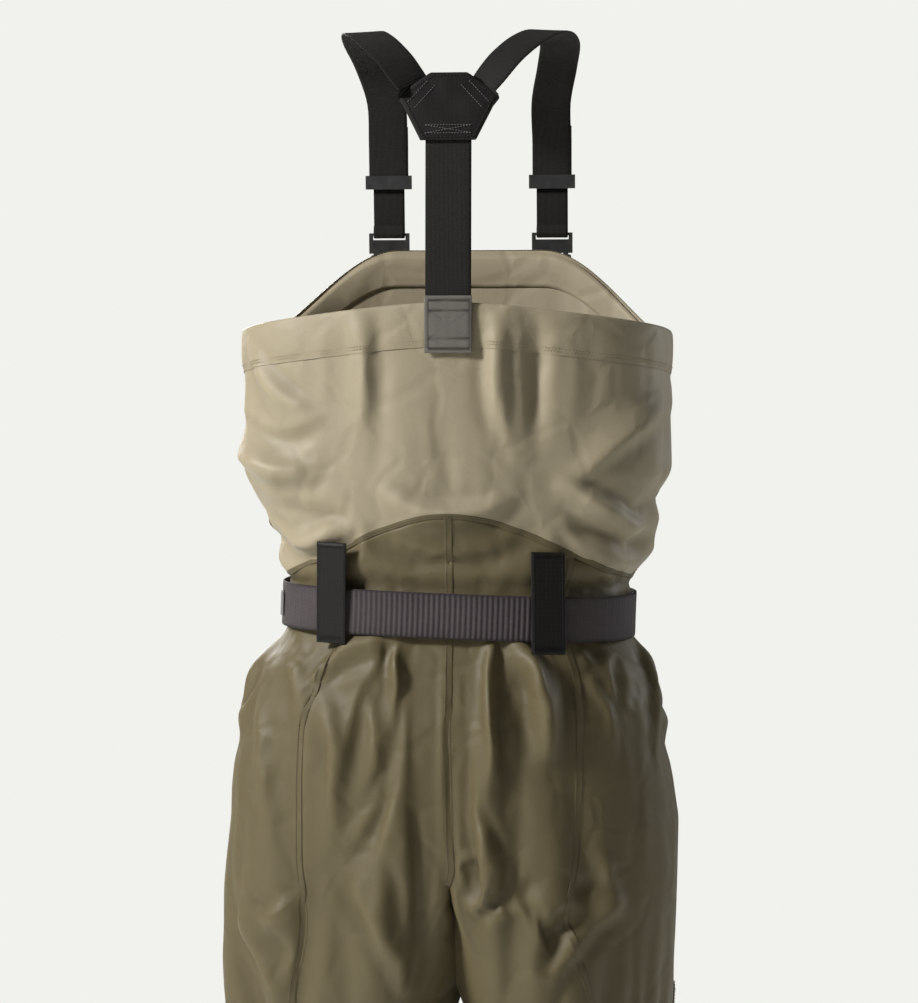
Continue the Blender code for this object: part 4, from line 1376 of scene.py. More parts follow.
def banded(name, rings, material):
    """Closed band of cloth through rings of points, smoothed, with the weave along it."""
    size = len(rings[0])
    points = [p for ring in rings for p in ring]
    faces, uvs = [], []
    for r in range(len(rings) - 1):
        for c in range(size):
            d = (c + 1) % size
            faces.append([r * size + c, (r + 1) * size + c, (r + 1) * size + d, r * size + d][::-1])
            places = ((c, r), (c, r + 1), (c + 1, r + 1), (c + 1, r))
            uvs.append([(a * ACROSS_STEP, b * 0.006) for a, b in places][::-1])
    made = finish_mesh(name, points, faces, material, uvs)
    subdivide(made)
    return made


# ---------------------------------------------------------------- suspenders

SOCKET_LOW, SOCKET_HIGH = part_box("shoulder_socket_left")
YOKE_LOW, YOKE_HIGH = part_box("yoke_patch")
STRAP_OUT = (SOCKET_LOW.x + SOCKET_HIGH.x) / 2
CHEST_SLOPE = Vector((0, 0.10, 1.0)).normalized()
CHEST_OUT = Vector((0, -1.0, 0.10)).normalized()
SOCKET_BASE = Vector((STRAP_OUT, -0.1530 + BODY_Y, 1.392))
SHOULDER_WIDTH = 0.046
SHOULDER_RIB = 0.00030
FRONT_WIDTH = 0.038
FRONT_RIB = 0.00018
WIDE_PITCH = 0.0026
NARROW_PITCH = 0.0020

# Strap runs beside a buckle, as the distance up from the socket and out from the chest, then
# the way the strap faces there, outwards and upwards
PRONG_TURN = [
    (0.0690, 0.0010, -1, 0), (0.0640, -0.0024, -1, 0), (0.0590, -0.0034, -1, 0),
    (0.0553, -0.0018, -0.7, -0.7), (0.0546, 0.0, 0, -1), (0.0553, 0.0018, 0.7, -0.7),
    (0.0575, 0.0034, 1, 0), (0.064, 0.0036, 1, 0), (0.095, 0.0032, 1, 0), (0.148, 0.0032, 1, 0)]
SOCKET_TURN = [
    (-0.014, -0.0052, -1, 0), (-0.009, -0.0054, -1, 0), (-0.0050, -0.0040, -0.7, -0.7),
    (-0.0038, 0.0, 0, -1), (-0.0050, 0.0052, 0.7, -0.7), (-0.0100, 0.0062, 1, 0),
    (-0.0160, 0.0030, 1, 0.5), (-0.0240, -0.0030, 1, 0.4)]


def mirrored(point, side):
    return Vector((side * point.x, point.y, point.z))


def chest(distance, out=0.0, side=1):
    """Point on the straight front run of a strap, measured up from the socket."""
    return mirrored(SOCKET_BASE + CHEST_SLOPE * distance + CHEST_OUT * out, side)


def shoulder_strap(label, side):
    """Elastic webbing from the yoke over the shoulder to its adjuster, then back on itself."""
    over = [(0.0280, 0.1362, 1.5840), (0.0440, 0.1345, 1.6040), (0.0620, 0.122, 1.628),
            (0.084, 0.096, 1.650), (STRAP_OUT + 0.007, 0.050, 1.664),
            (STRAP_OUT + 0.015, -0.020, 1.661), (STRAP_OUT + 0.009, -0.082, 1.640)]
    keys = [Vector(key) + Vector((0, BODY_Y, -0.001)) for key in over]
    keys += [chest(0.212, -0.0130), chest(0.165, -0.0014), chest(0.120, -0.0010)]
    path = smooth_path(keys, 6)
    centre = Vector((0.10, BODY_Y, 1.45))
    outs = [p - centre for p in path]
    outs[-8:] = [CHEST_OUT.copy()] * 8
    outs[:4] = [Vector((0, 1.0, 0.12))] * 4
    path = [mirrored(p, side) for p in path]
    outs = [mirrored(o, side) for o in outs]
    strap = webbing("strap", path, outs, SHOULDER_WIDTH, 0.0020, STRAP_CLOTH, SHOULDER_RIB,
                    WIDE_PITCH)
    piece(strap, "shoulder_strap_" + label, "root")
    hanging = ((0.116, 0.0062), (0.140, 0.0066), (0.165, 0.0080), (0.185, 0.0072))
    tail = smooth_path([chest(up, out, side) for up, out in hanging], 5)
    slack = webbing("strap_tail_" + label, tail, [CHEST_OUT] * len(tail), SHOULDER_WIDTH, 0.0018,
                    STRAP_CLOTH, SHOULDER_RIB, WIDE_PITCH)
    trim(slack, "root")


def front_buckle(label, side):
    """Side-release buckle between the bib's sewn tab and the strap's adjuster."""
    dress_node("shoulder_socket_" + label, PLASTIC, 0.0006)
    dress_node("shoulder_prong_" + label, PLASTIC, 0.0005)
    dress_node("strap_adjuster_" + label, PLASTIC, 0.0006)
    for i in range(4):
        rib = grip_bar(f"socket_rib_{label}_{i}", chest(0.0285 + 0.0016 * i - 0.026, 0.0052, side),
                       FRONT_WIDTH * 0.5)
        trim(rib, "root")
    front = webbing("front", *buckle_turn(PRONG_TURN, side), FRONT_WIDTH - 0.001, 0.0015,
                    STRAP_CLOTH, FRONT_RIB, NARROW_PITCH)
    piece(front, "front_webbing_" + label, label + "_prong")
    tab = [chest(-0.0105 - d, -0.0058, side) for d in (0.062, 0.030, 0.0)]
    tab_strap = webbing("tab", tab, [CHEST_OUT] * 3, FRONT_WIDTH, 0.0015, STRAP_CLOTH, FRONT_RIB,
                        NARROW_PITCH)
    piece(tab_strap, "socket_tab_" + label, "root")
    for i in range(3):
        low = chest(-0.066 + 0.010 * i, -0.0047, side)
        bar_tack(f"tab_tack_{label}_{i}", low, LEFTWARD, CHEST_OUT, FRONT_WIDTH * 0.8, DARK_THREAD)
    path, facing = buckle_turn(SOCKET_TURN, side)
    loop = webbing("buckle_loop_" + label, smooth_path(path, 4), smooth_path(facing, 4),
                   FRONT_WIDTH - 0.002, 0.0013, STRAP_CLOTH)
    trim(loop, "root")


def buckle_turn(places, side):
    """Path and facing directions of a strap that turns round a buckle's bar."""
    path = [chest(up, out, side) for up, out, _, _ in places]
    return path, [CHEST_OUT * out + CHEST_SLOPE * up for _, _, out, up in places]


def grip_bar(name, centre, length):
    """Raised grip rib across a buckle."""
    rings = []
    for share, size in ((-0.5, 0.3), (-0.46, 1.0), (0.46, 1.0), (0.5, 0.3)):
        ring = []
        for s in range(8):
            turn = 2 * math.pi * s / 8
            ring.append(centre + Vector((share * length, 0, 0))
                        + CHEST_SLOPE * (0.0005 * size * math.cos(turn))
                        + CHEST_OUT * (0.0004 * size * math.sin(turn)))
        rings.append(ring)
    return ring_loft(name, rings, PLASTIC)


TACK_PITCH = 0.0009
TACK_SWING = 0.0013
THREAD_SIDES = 5


def bar_tack(name, centre, across, out, width, thread):
    """Dense zigzag tack: short stitches packed side by side across a strap."""
    count = int(width / TACK_PITCH)
    up = out.cross(across).normalized()
    path = []
    for i in range(count + 1):
        rise = TACK_SWING if i % 2 else -TACK_SWING
        path.append(centre + across * width * (i / count - 0.5) + up * rise)
    trim(zigzag(name, path, [out] * len(path), thread), "root")


def zigzag(name, path, outs, thread, girth=0.00032):
    """One unbroken thread that follows the path over a surface."""
    turns = [2 * math.pi * s / THREAD_SIDES for s in range(THREAD_SIDES)]
    rings = []
    for i, (point, out) in enumerate(zip(path, outs)):
        heading = (path[min(i + 1, len(path) - 1)] - path[max(i - 1, 0)]).normalized()
        across = out.cross(heading).normalized()
        rings.append([point + (across * math.cos(turn) + out * math.sin(turn)) * girth
                      for turn in turns])
    return ring_loft(name, rings, thread)


def zigzag_row(name, start, end, out, swing, pitch, thread):
    """Zigzag stitching from start to end on a flat piece."""
    along = end - start
    count = max(int(along.length / pitch), 2)
    across = out.cross(along).normalized()
    path = [start + along * (i / count) + across * (swing if i % 2 else -swing)
            for i in range(count + 1)]
    trim(zigzag(name, path, [out] * len(path), thread), "root")


def make_back_strap():
    """Wide elastic strap from the anchor patch up to the yoke."""
    low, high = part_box("back_strap")
    face_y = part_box("back_anchor_patch")[0].y
    keys = [Vector((0, face_y - 0.0018, low.z)), Vector((0, face_y - 0.0018, BACK_TOP - 0.003)),
            Vector((0, high.y - 0.0030, BACK_TOP + 0.060)), Vector((0, high.y - 0.0060, high.z))]
    path = smooth_path(keys, 6)
    strap = webbing("back", path, [BACKWARD] * len(path), high.x - low.x, 0.0018, STRAP_CLOTH,
                    0.00026, WIDE_PITCH)
    piece(strap, "back_strap", "root")


def make_anchor():
    """Grey patch that ties the back strap to the hem, closed by zigzag rows."""
    low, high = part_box("back_anchor_patch")
    half, tall = (high.x - low.x) / 2, high.z - low.z
    outline = [(-half, 0), (half, 0), (half, tall), (-half, tall)]
    origin = Vector((0, low.y, low.z))
    made = patch("anchor", outline, origin, RIGHTWARD, UPWARD, 0.0013, ANCHOR_CLOTH, 0.0008,
                 0.0006, 0.002)
    piece(made, "back_anchor_patch", "root")
    out = BACKWARD
    face = low.y + 0.0021
    for i, rise in enumerate((0.005, 0.016, tall - 0.016, tall - 0.005)):
        start = Vector((-half * 0.86, face, low.z + rise))
        end = Vector((half * 0.86, face, low.z + rise))
        zigzag_row(f"anchor_tack_{i}", start, end, out, 0.0016, 0.0011, GREY_THREAD)
    for i, share in enumerate((-0.86, 0.86)):
        start = Vector((half * share, face, low.z + 0.005))
        end = Vector((half * share, face, high.z - 0.005))
        zigzag_row(f"anchor_side_{i}", start, end, out, 0.0014, 0.0014, GREY_THREAD)
    for i, way in enumerate((1, -1)):
        start = Vector((-half * 0.8 * way, face, low.z + 0.017))
        end = Vector((half * 0.8 * way, face, high.z - 0.017))
        row = stitches(f"anchor_cross_{i}", [start, end], [out, out], GREY_THREAD, 0.0024, 0.0008)
        trim(row, "root")


# Rows of stitching that hold the straps, in half widths and heights of the yoke: two across
# each shoulder strap, then two rows and a cross over the back strap
STRAP_JOINS = [((0.80, 0.56), (0.40, 0.88)), ((0.66, 0.48), (0.24, 0.82))]
YOKE_JOINS = [[(side * x, y) for x, y in ends] for side in (1, -1) for ends in STRAP_JOINS]
YOKE_JOINS += [((0.46, 0.10), (-0.46, 0.10)), ((0.46, 0.22), (-0.46, 0.22)),
               ((0.46, 0.10), (-0.46, 0.22)), ((-0.46, 0.10), (0.46, 0.22))]


def make_yoke():
    """Ripstop patch where the three straps meet, with its edge and its joins stitched."""
    up = Vector((0, -0.10, 1.0)).normalized()
    tall = YOKE_HIGH.z - YOKE_LOW.z
    half = YOKE_HIGH.x
    outline = [(-half * 0.55, 0), (half * 0.55, 0), (half, tall * 0.67), (half * 0.36, tall),
               (-half * 0.36, tall), (-half, tall * 0.67)]
    origin = Vector((0, YOKE_HIGH.y - 0.0012, YOKE_LOW.z))
    made = patch("yoke", outline, origin, RIGHTWARD, up, 0.0013, YOKE_CLOTH, 0.0012, 0.0010)
    piece(made, "yoke_patch", "root")
    low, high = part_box("yoke_backing")
    small = [(x * 0.66, y * 0.66) for x, y in outline]
    backing = patch("backing", small, Vector((0, high.y - 0.0004, low.z)), RIGHTWARD, up, 0.0012,
                    YOKE_CLOTH)
    piece(backing, "yoke_backing", "root")
    out = RIGHTWARD.cross(up).normalized()

    def on_patch(x, y):
        return origin + RIGHTWARD * x + up * y + out * 0.0027

    inset = [(x * 0.90, tall * 0.5 + (y - tall * 0.5) * 0.90) for x, y in outline]
    for i in range(len(inset)):
        start, end = on_patch(*inset[i]), on_patch(*inset[(i + 1) % len(inset)])
        row = stitches(f"yoke_edge_{i}", [start, end], [out, out], DARK_THREAD, 0.0026, 0.0010)
        trim(row, "root")
    for i, ends in enumerate(YOKE_JOINS):
        line = [on_patch(half * x, tall * y) for x, y in ends]
        row = stitches(f"yoke_join_{i}", line, [out, out], GREY_THREAD, 0.0024, 0.0007, 0.00042)
        trim(row, "root")


def make_suspenders():
    make_back_strap()
    make_anchor()
    make_yoke()
    for label, side in SIDES:
        shoulder_strap(label, side)
        front_buckle(label, side)


# ---------------------------------------------------------------- belt

BELT_PROUD = 0.0105
BELT_FLAT = 0.090
BELT_FRONT = -0.1345
LEFT_LOOP_ANGLE = math.radians(40.5)
RIGHT_LOOP_ANGLE = math.radians(132)
FRONT_LOOP_ANGLE = math.radians(-38)
LOOP_WIDTH = 0.038
LOOP_SECTIONS = 26
LOOP_SEARCH = 0.08
LABEL_ANGLE = math.radians(14)
LABEL_HALF_WIDTH = 0.006
LABEL_HALF_HEIGHT = 0.014
BELT_ENDS = (0.018, -0.020)
BELT_START = -68
BELT_SWEEP = 316
BELT_STEPS = 92

# Belt loops: angle round the body, then how far each reaches above and below the belt's middle
BELT_LOOPS = {
    "back_left": (LEFT_LOOP_ANGLE, 0.075, 0.036),
    "back_right": (RIGHT_LOOP_ANGLE, 0.073, 0.037),
    "front_left": (FRONT_LOOP_ANGLE, 0.048, 0.040),
    "front_right": (math.pi - FRONT_LOOP_ANGLE, 0.048, 0.040),
}


def belt_point(angle, proud):
    """Point on the belt's own ring, before it is tilted."""
    point = torso_point(BELT_HEIGHT, angle, proud)
    point.z = 0.0
    if point.y < BODY_Y and abs(point.x) < BELT_FLAT:
        point.y = min(point.y, BELT_FRONT + BODY_Y)
    return point


def belt_normal(angle):
    """Direction square to the torso at the belt."""
    step = 0.01
    tangent = torso_point(BELT_HEIGHT, angle + step) - torso_point(BELT_HEIGHT, angle - step)
    return tangent.cross(UPWARD).normalized()


def tilted(point):
    """A point measured from the belt's middle, turned to the slant it is worn at."""
    return Matrix.Translation((0, 0, BELT_HEIGHT)) @ Matrix.Rotation(BELT_TILT, 4, "Y") @ point


def tilted_way(way):
    return Matrix.Rotation(BELT_TILT, 3, "Y") @ way


def ribbed_part(point):
    """1 across the back between the belt loops, where the webbing is heavily ribbed."""
    between = belt_point(RIGHT_LOOP_ANGLE, 0).x < point.x < belt_point(LEFT_LOOP_ANGLE, 0).x
    return 1.0 if point.y > BODY_Y and between else 0.12


def make_belt_band():
    """The webbing once round the waist, from one side of the buckle to the other."""
    angles = [math.radians(BELT_START + BELT_SWEEP * i / BELT_STEPS) for i in range(BELT_STEPS + 1)]
    path = [belt_point(a, BELT_PROUD) for a in angles]
    path = [p for p in path if abs(p.x) > BELT_FLAT * 0.7 or p.y > BODY_Y]
    front = BELT_FRONT + BODY_Y
    path = [Vector((BELT_ENDS[0], front, 0)), *path, Vector((BELT_ENDS[1], front, 0))]
    outs = []
    for i in range(len(path)):
        before, after = path[max(i - 1, 0)], path[min(i + 1, len(path) - 1)]
        outs.append(tilted_way((after - before).cross(UPWARD).normalized()))
    path = [tilted(p) for p in path]
    band = webbing("band", path, outs, BELT_WIDTH, 0.0020, BELT_CLOTH, 0.0010, 0.0058, ribbed_part, 8)
    piece(band, "belt", "root")


def pulled_over(needed):
    """Reach of a strap pulled tight over a row of (height, reach) points: their outer hull."""
    hull = []
    for point in needed:
        while len(hull) > 1:
            (z1, r1), (z2, r2) = hull[-2:]
            if (r2 - r1) * (point[0] - z1) > (point[1] - r1) * (z2 - z1):
                break
            hull.pop()
        hull.append(point)
    return hull


def cloth_reach(spot, out):
    """How far a strap must stand out from a spot to lie on the folded cloth over it."""
    hit = CLOTH_TREE.ray_cast(spot + out * LOOP_SEARCH, -out, 0.14)
    return LOOP_SEARCH - hit[3] + 0.0018 if hit[0] else 0.004


def belt_loop(name, angle, rise, drop):
    """Ripstop strap sewn to the shell above and below the belt, bowed out over it."""
    out = tilted_way(belt_normal(angle))
    across = out.cross(UPWARD).normalized()
    base = torso_point(BELT_HEIGHT, angle)
    needed = []
    for i in range(LOOP_SECTIONS + 1):
        height = -drop + (rise + drop) * i / LOOP_SECTIONS
        spot = tilted(Vector((base.x, base.y, height)))
        reach = max(cloth_reach(spot + across * LOOP_WIDTH * share, out)
                    for share in (-0.45, 0, 0.45))
        if abs(height) < BELT_WIDTH / 2 + 0.001:
            reach = max(reach, BELT_PROUD + 0.0042)
        needed.append((height, reach))
    path = [tilted(Vector((base.x, base.y, height))) + out * reach
            for height, reach in pulled_over(needed)]
    fine = spaced(smooth_path(path, 4), 0.0025)
    for _ in range(4):
        fine[1:-1] = [(a + b * 2 + c) / 4 for a, b, c in zip(fine, fine[1:], fine[2:])]
    outs = [out] * len(fine)
    made = webbing("loop", fine, outs, LOOP_WIDTH, 0.0018, YOKE_CLOTH)
    piece(made, name, "root")
    for i, spot in enumerate((fine[-3], fine[2], fine[3])):
        bar_tack(f"{name}_tack_{i}", spot + out * 0.0010, across, out, LOOP_WIDTH * 0.84,
                 DARK_THREAD)
    for i, share in enumerate((-0.42, 0.42)):
        line = [p + across * LOOP_WIDTH * share + out * 0.0010 for p in fine]
        trim(stitches(f"{name}_edge_{i}", line, outs, DARK_THREAD), "root")


def make_belt():
    make_belt_band()
    for name, (angle, rise, drop) in BELT_LOOPS.items():
        belt_loop("belt_loop_" + name, angle, rise, drop)
    dress_node("belt_socket", PLASTIC, 0.0007)
    dress_node("belt_prong", PLASTIC, 0.0005)
    dress_node("belt_keeper", YOKE_CLOTH, 0.0006)
    make_belt_label()


def make_belt_label():
    """Small plain woven tag, stitched down along both sides."""
    out = belt_normal(LABEL_ANGLE)
    side = tilted(belt_point(LABEL_ANGLE, BELT_PROUD) + out * 0.0022)
    out = tilted_way(out)
    up = tilted_way(UPWARD)
    across = up.cross(out)
    half, tall = LABEL_HALF_WIDTH, LABEL_HALF_HEIGHT
    outline = [(-half, -tall), (half, -tall), (half, tall), (-half, tall)]
    made = patch("label", outline, side, across, up, 0.0009, LABEL_CLOTH, 0.0003, 0.0, 0.001)
    piece(made, "belt_label", "root")
    for i, share in enumerate((-0.8, 0.8)):
        ends = [side + across * half * share + up * tall * s * 0.9 + out * 0.0011 for s in (-1, 1)]
        row = stitches(f"label_thread_{i}", ends, [out, out], GREY_THREAD, 0.0016, 0.0006, 0.0002)
        trim(row, "root")


# ---------------------------------------------------------------- chest pocket and zip

POCKET_BURIED = 0.006
POCKET_CORNER = 0.015
TOOTH_PITCH = 0.0021


def make_pocket():
    """Shallow bag whose edge sinks into the chest panel, topstitched all round."""
    low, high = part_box("chest_pocket")
    half, tall = high.x, high.z - low.z
    corner = POCKET_CORNER
    outline = [(-half + corner, 0), (half - corner, 0), (half, corner), (half, tall),
               (-half, tall), (-half, corner)]
    depth = high.y - low.y
    face = depth * 0.72
    buried = Vector((0, POCKET_BURIED, 0))
    origin = Vector((0, high.y, low.z))
    bag = patch("bag", outline, origin + buried, LEFTWARD, UPWARD, face + POCKET_BURIED, BIB_CLOTH,
                depth * 0.28, 0.0022)
    piece(bag, "chest_pocket", "root")
    inset = [(x * 0.955, tall / 2 + (y - tall / 2) * 0.955) for x, y in outline]
    ring = [origin + LEFTWARD * x + UPWARD * y + FORWARD * (face + 0.0007)
            for x, y in closed(inset)]
    trim(stitches("pocket_thread", ring, [FORWARD] * len(ring), BIB_THREAD), "root")


def make_zip():
    """Coated tape across the pocket's mouth, with moulded teeth, a slider and its pull."""
    tape_low, tape_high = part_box("zip_tape")
    teeth_low, teeth_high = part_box("zip_teeth")
    middle = (tape_low.z + tape_high.z) / 2
    outs = [FORWARD, FORWARD]
    path = [Vector((x, tape_high.y - 0.0004, middle)) for x in (tape_low.x, tape_high.x)]
    tape = webbing("tape", path, outs, tape_high.z - tape_low.z, 0.0008, STRAP_CLOTH)
    piece(tape, "zip_tape", "root")
    teeth = zip_teeth(teeth_low, teeth_high)
    piece(teeth, "zip_teeth", "root")
    for i, rise in enumerate((-0.0092, 0.0092)):
        line = [Vector((x, tape_low.y - 0.0002, middle + rise)) for x in (tape_low.x, tape_high.x)]
        trim(stitches(f"zip_thread_{i}", line, outs, DARK_THREAD), "root")
    dress_node("zip_slider", METAL, 0.0005)
    make_zip_pull()


def zip_teeth(low, high):
    """Two rows of moulded teeth, each tooth set between two of the other row."""
    work = bmesh.new()
    middle = (low.z + high.z) / 2
    count = int((high.x - low.x) / TOOTH_PITCH)
    for i in range(count * 2):
        row = 1 if i % 2 else -1
        along = low.x + TOOTH_PITCH * (i / 2 + 0.5)
        spot = Vector((along, (low.y + high.y) / 2, middle + row * 0.0011))
        size = Matrix.Diagonal((0.0009, high.y - low.y, 0.0034, 1))
        bmesh.ops.create_cube(work, size=1.0, matrix=Matrix.Translation(spot) @ size)
    mesh = bpy.data.meshes.new("teeth")
    work.to_mesh(mesh)
    work.free()
    mesh.materials.append(PLASTIC)
    made = linked("teeth", mesh)
    edge = made.modifiers.new("edge", "BEVEL")
    edge.width = 0.0002
    return made


def make_zip_pull():
    """Ribbed soft tag that hangs from the slider."""
    low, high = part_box("zip_pull")
    middle_x, middle_y = (low.x + high.x) / 2, (low.y + high.y) / 2
    rings = []
    tall = high.z - low.z
    profile = [(0.0, 0.55), (0.02, 0.85), (0.10, 1.0)]
    profile += [(0.14 + 0.05 * i, 1.0 if i % 2 else 0.86) for i in range(11)]
    profile += [(0.72, 0.80), (0.80, 0.45), (0.98, 0.42), (1.0, 0.3)]
    for rise, size in profile:
        ring = []
        for s in range(12):
            turn = 2 * math.pi * s / 12
            ring.append(Vector((middle_x + (high.x - low.x) / 2 * size * math.cos(turn),
                                middle_y + (high.y - low.y) / 2 * size * math.sin(turn),
                                low.z + tall * rise)))
        rings.append(ring)
    piece(ring_loft("pull", rings, PLASTIC), "zip_pull", "zip_pull")


# ---------------------------------------------------------------- cord lock

def make_cord_lock():
    """Barrel lock at the hem, with its push button, a wound spring and the cord's two ends."""
    dress_node("cord_lock_barrel", PLASTIC, 0.0006)
    dress_node("cord_lock_button", PLASTIC, 0.0005)
    dress_node("cord_lock_base", PLASTIC, 0.0004)
    low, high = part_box("cord_lock_spring")
    centre = (low + high) / 2
    wire = 0.0004
    radius = (high.x - low.x) / 2 - wire
    path, outs = [], []
    turns, per_turn = 6, 16
    for i in range(turns * per_turn + 1):
        angle = 2 * math.pi * i / per_turn
        out = Vector((math.cos(angle), math.sin(angle), 0))
        rise = low.z + wire + (high.z - low.z - 2 * wire) * i / (turns * per_turn)
        path.append(Vector((centre.x, centre.y, rise)) + out * radius)
        outs.append(out)
    spring = zigzag("spring", path, outs, METAL, wire)
    spring.name = "cord_lock_spring_look"
    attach(spring, "root")
    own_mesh(spring)
    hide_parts("cord_lock_spring")
    barrel_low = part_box("cord_lock_barrel")[0]
    for i, shift in enumerate((-0.0045, 0.0045)):
        start = Vector((centre.x + shift, centre.y, barrel_low.z + 0.001))
        keys = [start, start + Vector((shift * 0.4, -0.001, -0.020)),
                start + Vector((shift * 0.2, -0.002, -0.050))]
        path = smooth_path(keys, 6)
        tail = webbing(f"cord_tail_{i}", path, [FORWARD] * len(path), 0.0024, 0.0024, STRAP_CLOTH)
        trim(tail, "root")


# ---------------------------------------------------------------- knees

def make_knee(label, side):
    """Tougher cloth laid over the front of the knee and shin, stitched inside its edges."""
    low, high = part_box("knee_patch_" + label)
    step = (CROTCH - ANKLE) / (NET.last_row - NET.crotch_row)
    first = NET.crotch_row + round((CROTCH - high.z) / step)
    last = NET.crotch_row + round((CROTCH - low.z) / step)
    columns = range(0, round(NET.outer * 0.44) + 1)
    points, faces, uvs = [], [], []
    width = len(columns)
    for row in range(first, last + 1):
        for column in columns:
            v = NET.vertex(side, row, column)
            points.append(SETTLED[v] + NET_NORMALS[v] * 0.0014)
    for r in range(last - first):
        for c in range(width - 1):
            face = [r * width + c, (r + 1) * width + c, (r + 1) * width + c + 1, r * width + c + 1]
            places = [(c, r), (c, r + 1), (c + 1, r + 1), (c + 1, r)]
            face_uvs = [(a * ACROSS_STEP, -b * DOWN_STEP) for a, b in places]
            faces.append(face if side > 0 else face[::-1])
            uvs.append(face_uvs if side > 0 else face_uvs[::-1])
    made = finish_mesh("knee", points, faces, GUARD_CLOTH, uvs)
    subdivide(made)
    thicken(made, 0.0014)
    piece(made, "knee_patch_" + label, "root")
    for i, row in enumerate((first + 1, last - 1)):
        path, outs = net_line([(side, row, c) for c in columns], 0.0024)
        trim(stitches(f"knee_row_{label}_{i}", path, outs, LEG_THREAD), "root")
    for i, column in enumerate((columns[1], columns[-2])):
        path, outs = net_line([(side, row, column) for row in range(first, last + 1)], 0.0024)
        trim(stitches(f"knee_side_{label}_{i}", path, outs, LEG_THREAD), "root")


# ---------------------------------------------------------------- feet

# Side profile of the neoprene foot: upper end y, z, lower end y, z, half width
FOOT = [
    (-0.064, 0.1697, 0.092, 0.1697, 0.066),
    (-0.050, 0.130, 0.084, 0.130, 0.054),
    (-0.052, 0.106, 0.087, 0.085, 0.046),
    (-0.060, 0.096, 0.094, 0.042, 0.043),
    (-0.072, 0.089, 0.080, 0.000, 0.042),
    (-0.090, 0.081, 0.030, -0.008, 0.041),
    (-0.112, 0.073, -0.050, -0.008, 0.046),
    (-0.140, 0.062, -0.110, -0.008, 0.052),
    (-0.170, 0.049, -0.160, -0.006, 0.049),
    (-0.192, 0.036, -0.190, 0.000, 0.036),
    (-0.202, 0.022, -0.202, 0.010, 0.012),
]
FOOT_SQUARENESS = 2.4
NEOPRENE_THICKNESS = 0.005
FOOT_SIDES = 40
FOOT_BETWEEN = 4
CREASE_HEIGHT = 0.105
CREASE_REACH = 0.045
SOLE_SEAM_ANGLE = 0.62


def foot_sections():
    """The profile's sections with smooth ones in between."""
    keys = [(Vector((0, uy, uz)), Vector((half, ly, lz))) for uy, uz, ly, lz, half in FOOT]
    uppers = smooth_path([upper for upper, _ in keys], FOOT_BETWEEN)
    lowers = smooth_path([lower for _, lower in keys], FOOT_BETWEEN)
    return list(zip(uppers, lowers))


def foot_point(section, angle, side, inset):
    """Point on the foot at an angle round a section, with fine creases near the ankle."""
    upper, lower = section
    low = Vector((0, lower.y, lower.z))
    axis = (low - upper).normalized()
    centre = (upper + low) / 2
    reach = max((low - upper).length / 2 - inset, 0.002)
    radius = rounded_radius(angle, max(lower.x - inset, 0.004), reach, FOOT_SQUARENESS)
    point = centre + axis * radius * math.sin(angle)
    point.x = radius * math.cos(angle)
    near = math.exp(-((point.z - CREASE_HEIGHT) / CREASE_REACH) ** 2)
    wave = noise.noise(Vector((point.x * 9, point.y * 9, point.z * 55)))
    point.x -= 0.0022 * near * abs(wave) * math.copysign(1, point.x)
    point.y += 0.0016 * near * wave
    point.z = max(point.z, inset)
    return Vector((point.x + side * LEG[0][1], point.y + BODY_Y, point.z))


def foot_ring(section, side, inset):
    """Points all the way round one section of the foot."""
    turns = [2 * math.pi * s / FOOT_SIDES for s in range(FOOT_SIDES)]
    return [foot_point(section, turn, side, inset) for turn in turns]


def make_bootie(label, side):
    """Neoprene sock foot, open at the ankle, with taped seams round the sole and the instep."""
    sections = foot_sections()
    outer = [foot_ring(section, side, 0.0) for section in sections]
    inner = [foot_ring(section, side, NEOPRENE_THICKNESS) for section in sections[:8]]
    made = ring_loft("foot", outer[::-1] + inner, NEOPRENE)
    piece(made, "bootie_" + label, "root")
    taped = (("instep_seam", -math.pi / 2, sections[4:-3]), ("heel_seam", math.pi / 2, sections[2:16]))
    for name, angle, run in taped:
        path = [foot_point(section, angle, side, -0.0003) for section in run]
        outs = seam_outs(path, run, side)
        tape = webbing(f"{name}_{label}", path, outs, 0.009, 0.0012, NEOPRENE)
        trim(tape, "root")
    run = sections[14:-4]
    for i, angle in enumerate((SOLE_SEAM_ANGLE, math.pi - SOLE_SEAM_ANGLE)):
        path = [foot_point(section, angle, side, -0.0004) for section in run]
        outs = seam_outs(path, run, side)
        row = stitches(f"sole_seam_{label}_{i}", path, outs, GREY_THREAD, 0.0034, 0.0012, 0.0004)
        trim(row, "root")


def seam_outs(path, sections, side):
    """Directions away from the middle of the foot along a seam."""
    outs = []
    for point, (upper, lower) in zip(path, sections):
        middle = Vector((side * LEG[0][1], (upper.y + lower.y) / 2 + BODY_Y,
                         (upper.z + lower.z) / 2))
        outs.append((point - middle).normalized())
    return outs


GUARD_HEM_WIDTH = 0.080
GUARD_HEM_DEPTH = 0.096
GUARD_HEM_HEIGHT = 0.100
GUARD_HEM_DIP = 0.034
GUARD_CLEARANCE = 0.0035
GUARD_SLACK = 0.0035
GUARD_GATHERS = 34
GUARD_SIDES = 204
GUARD_LEVELS = 16


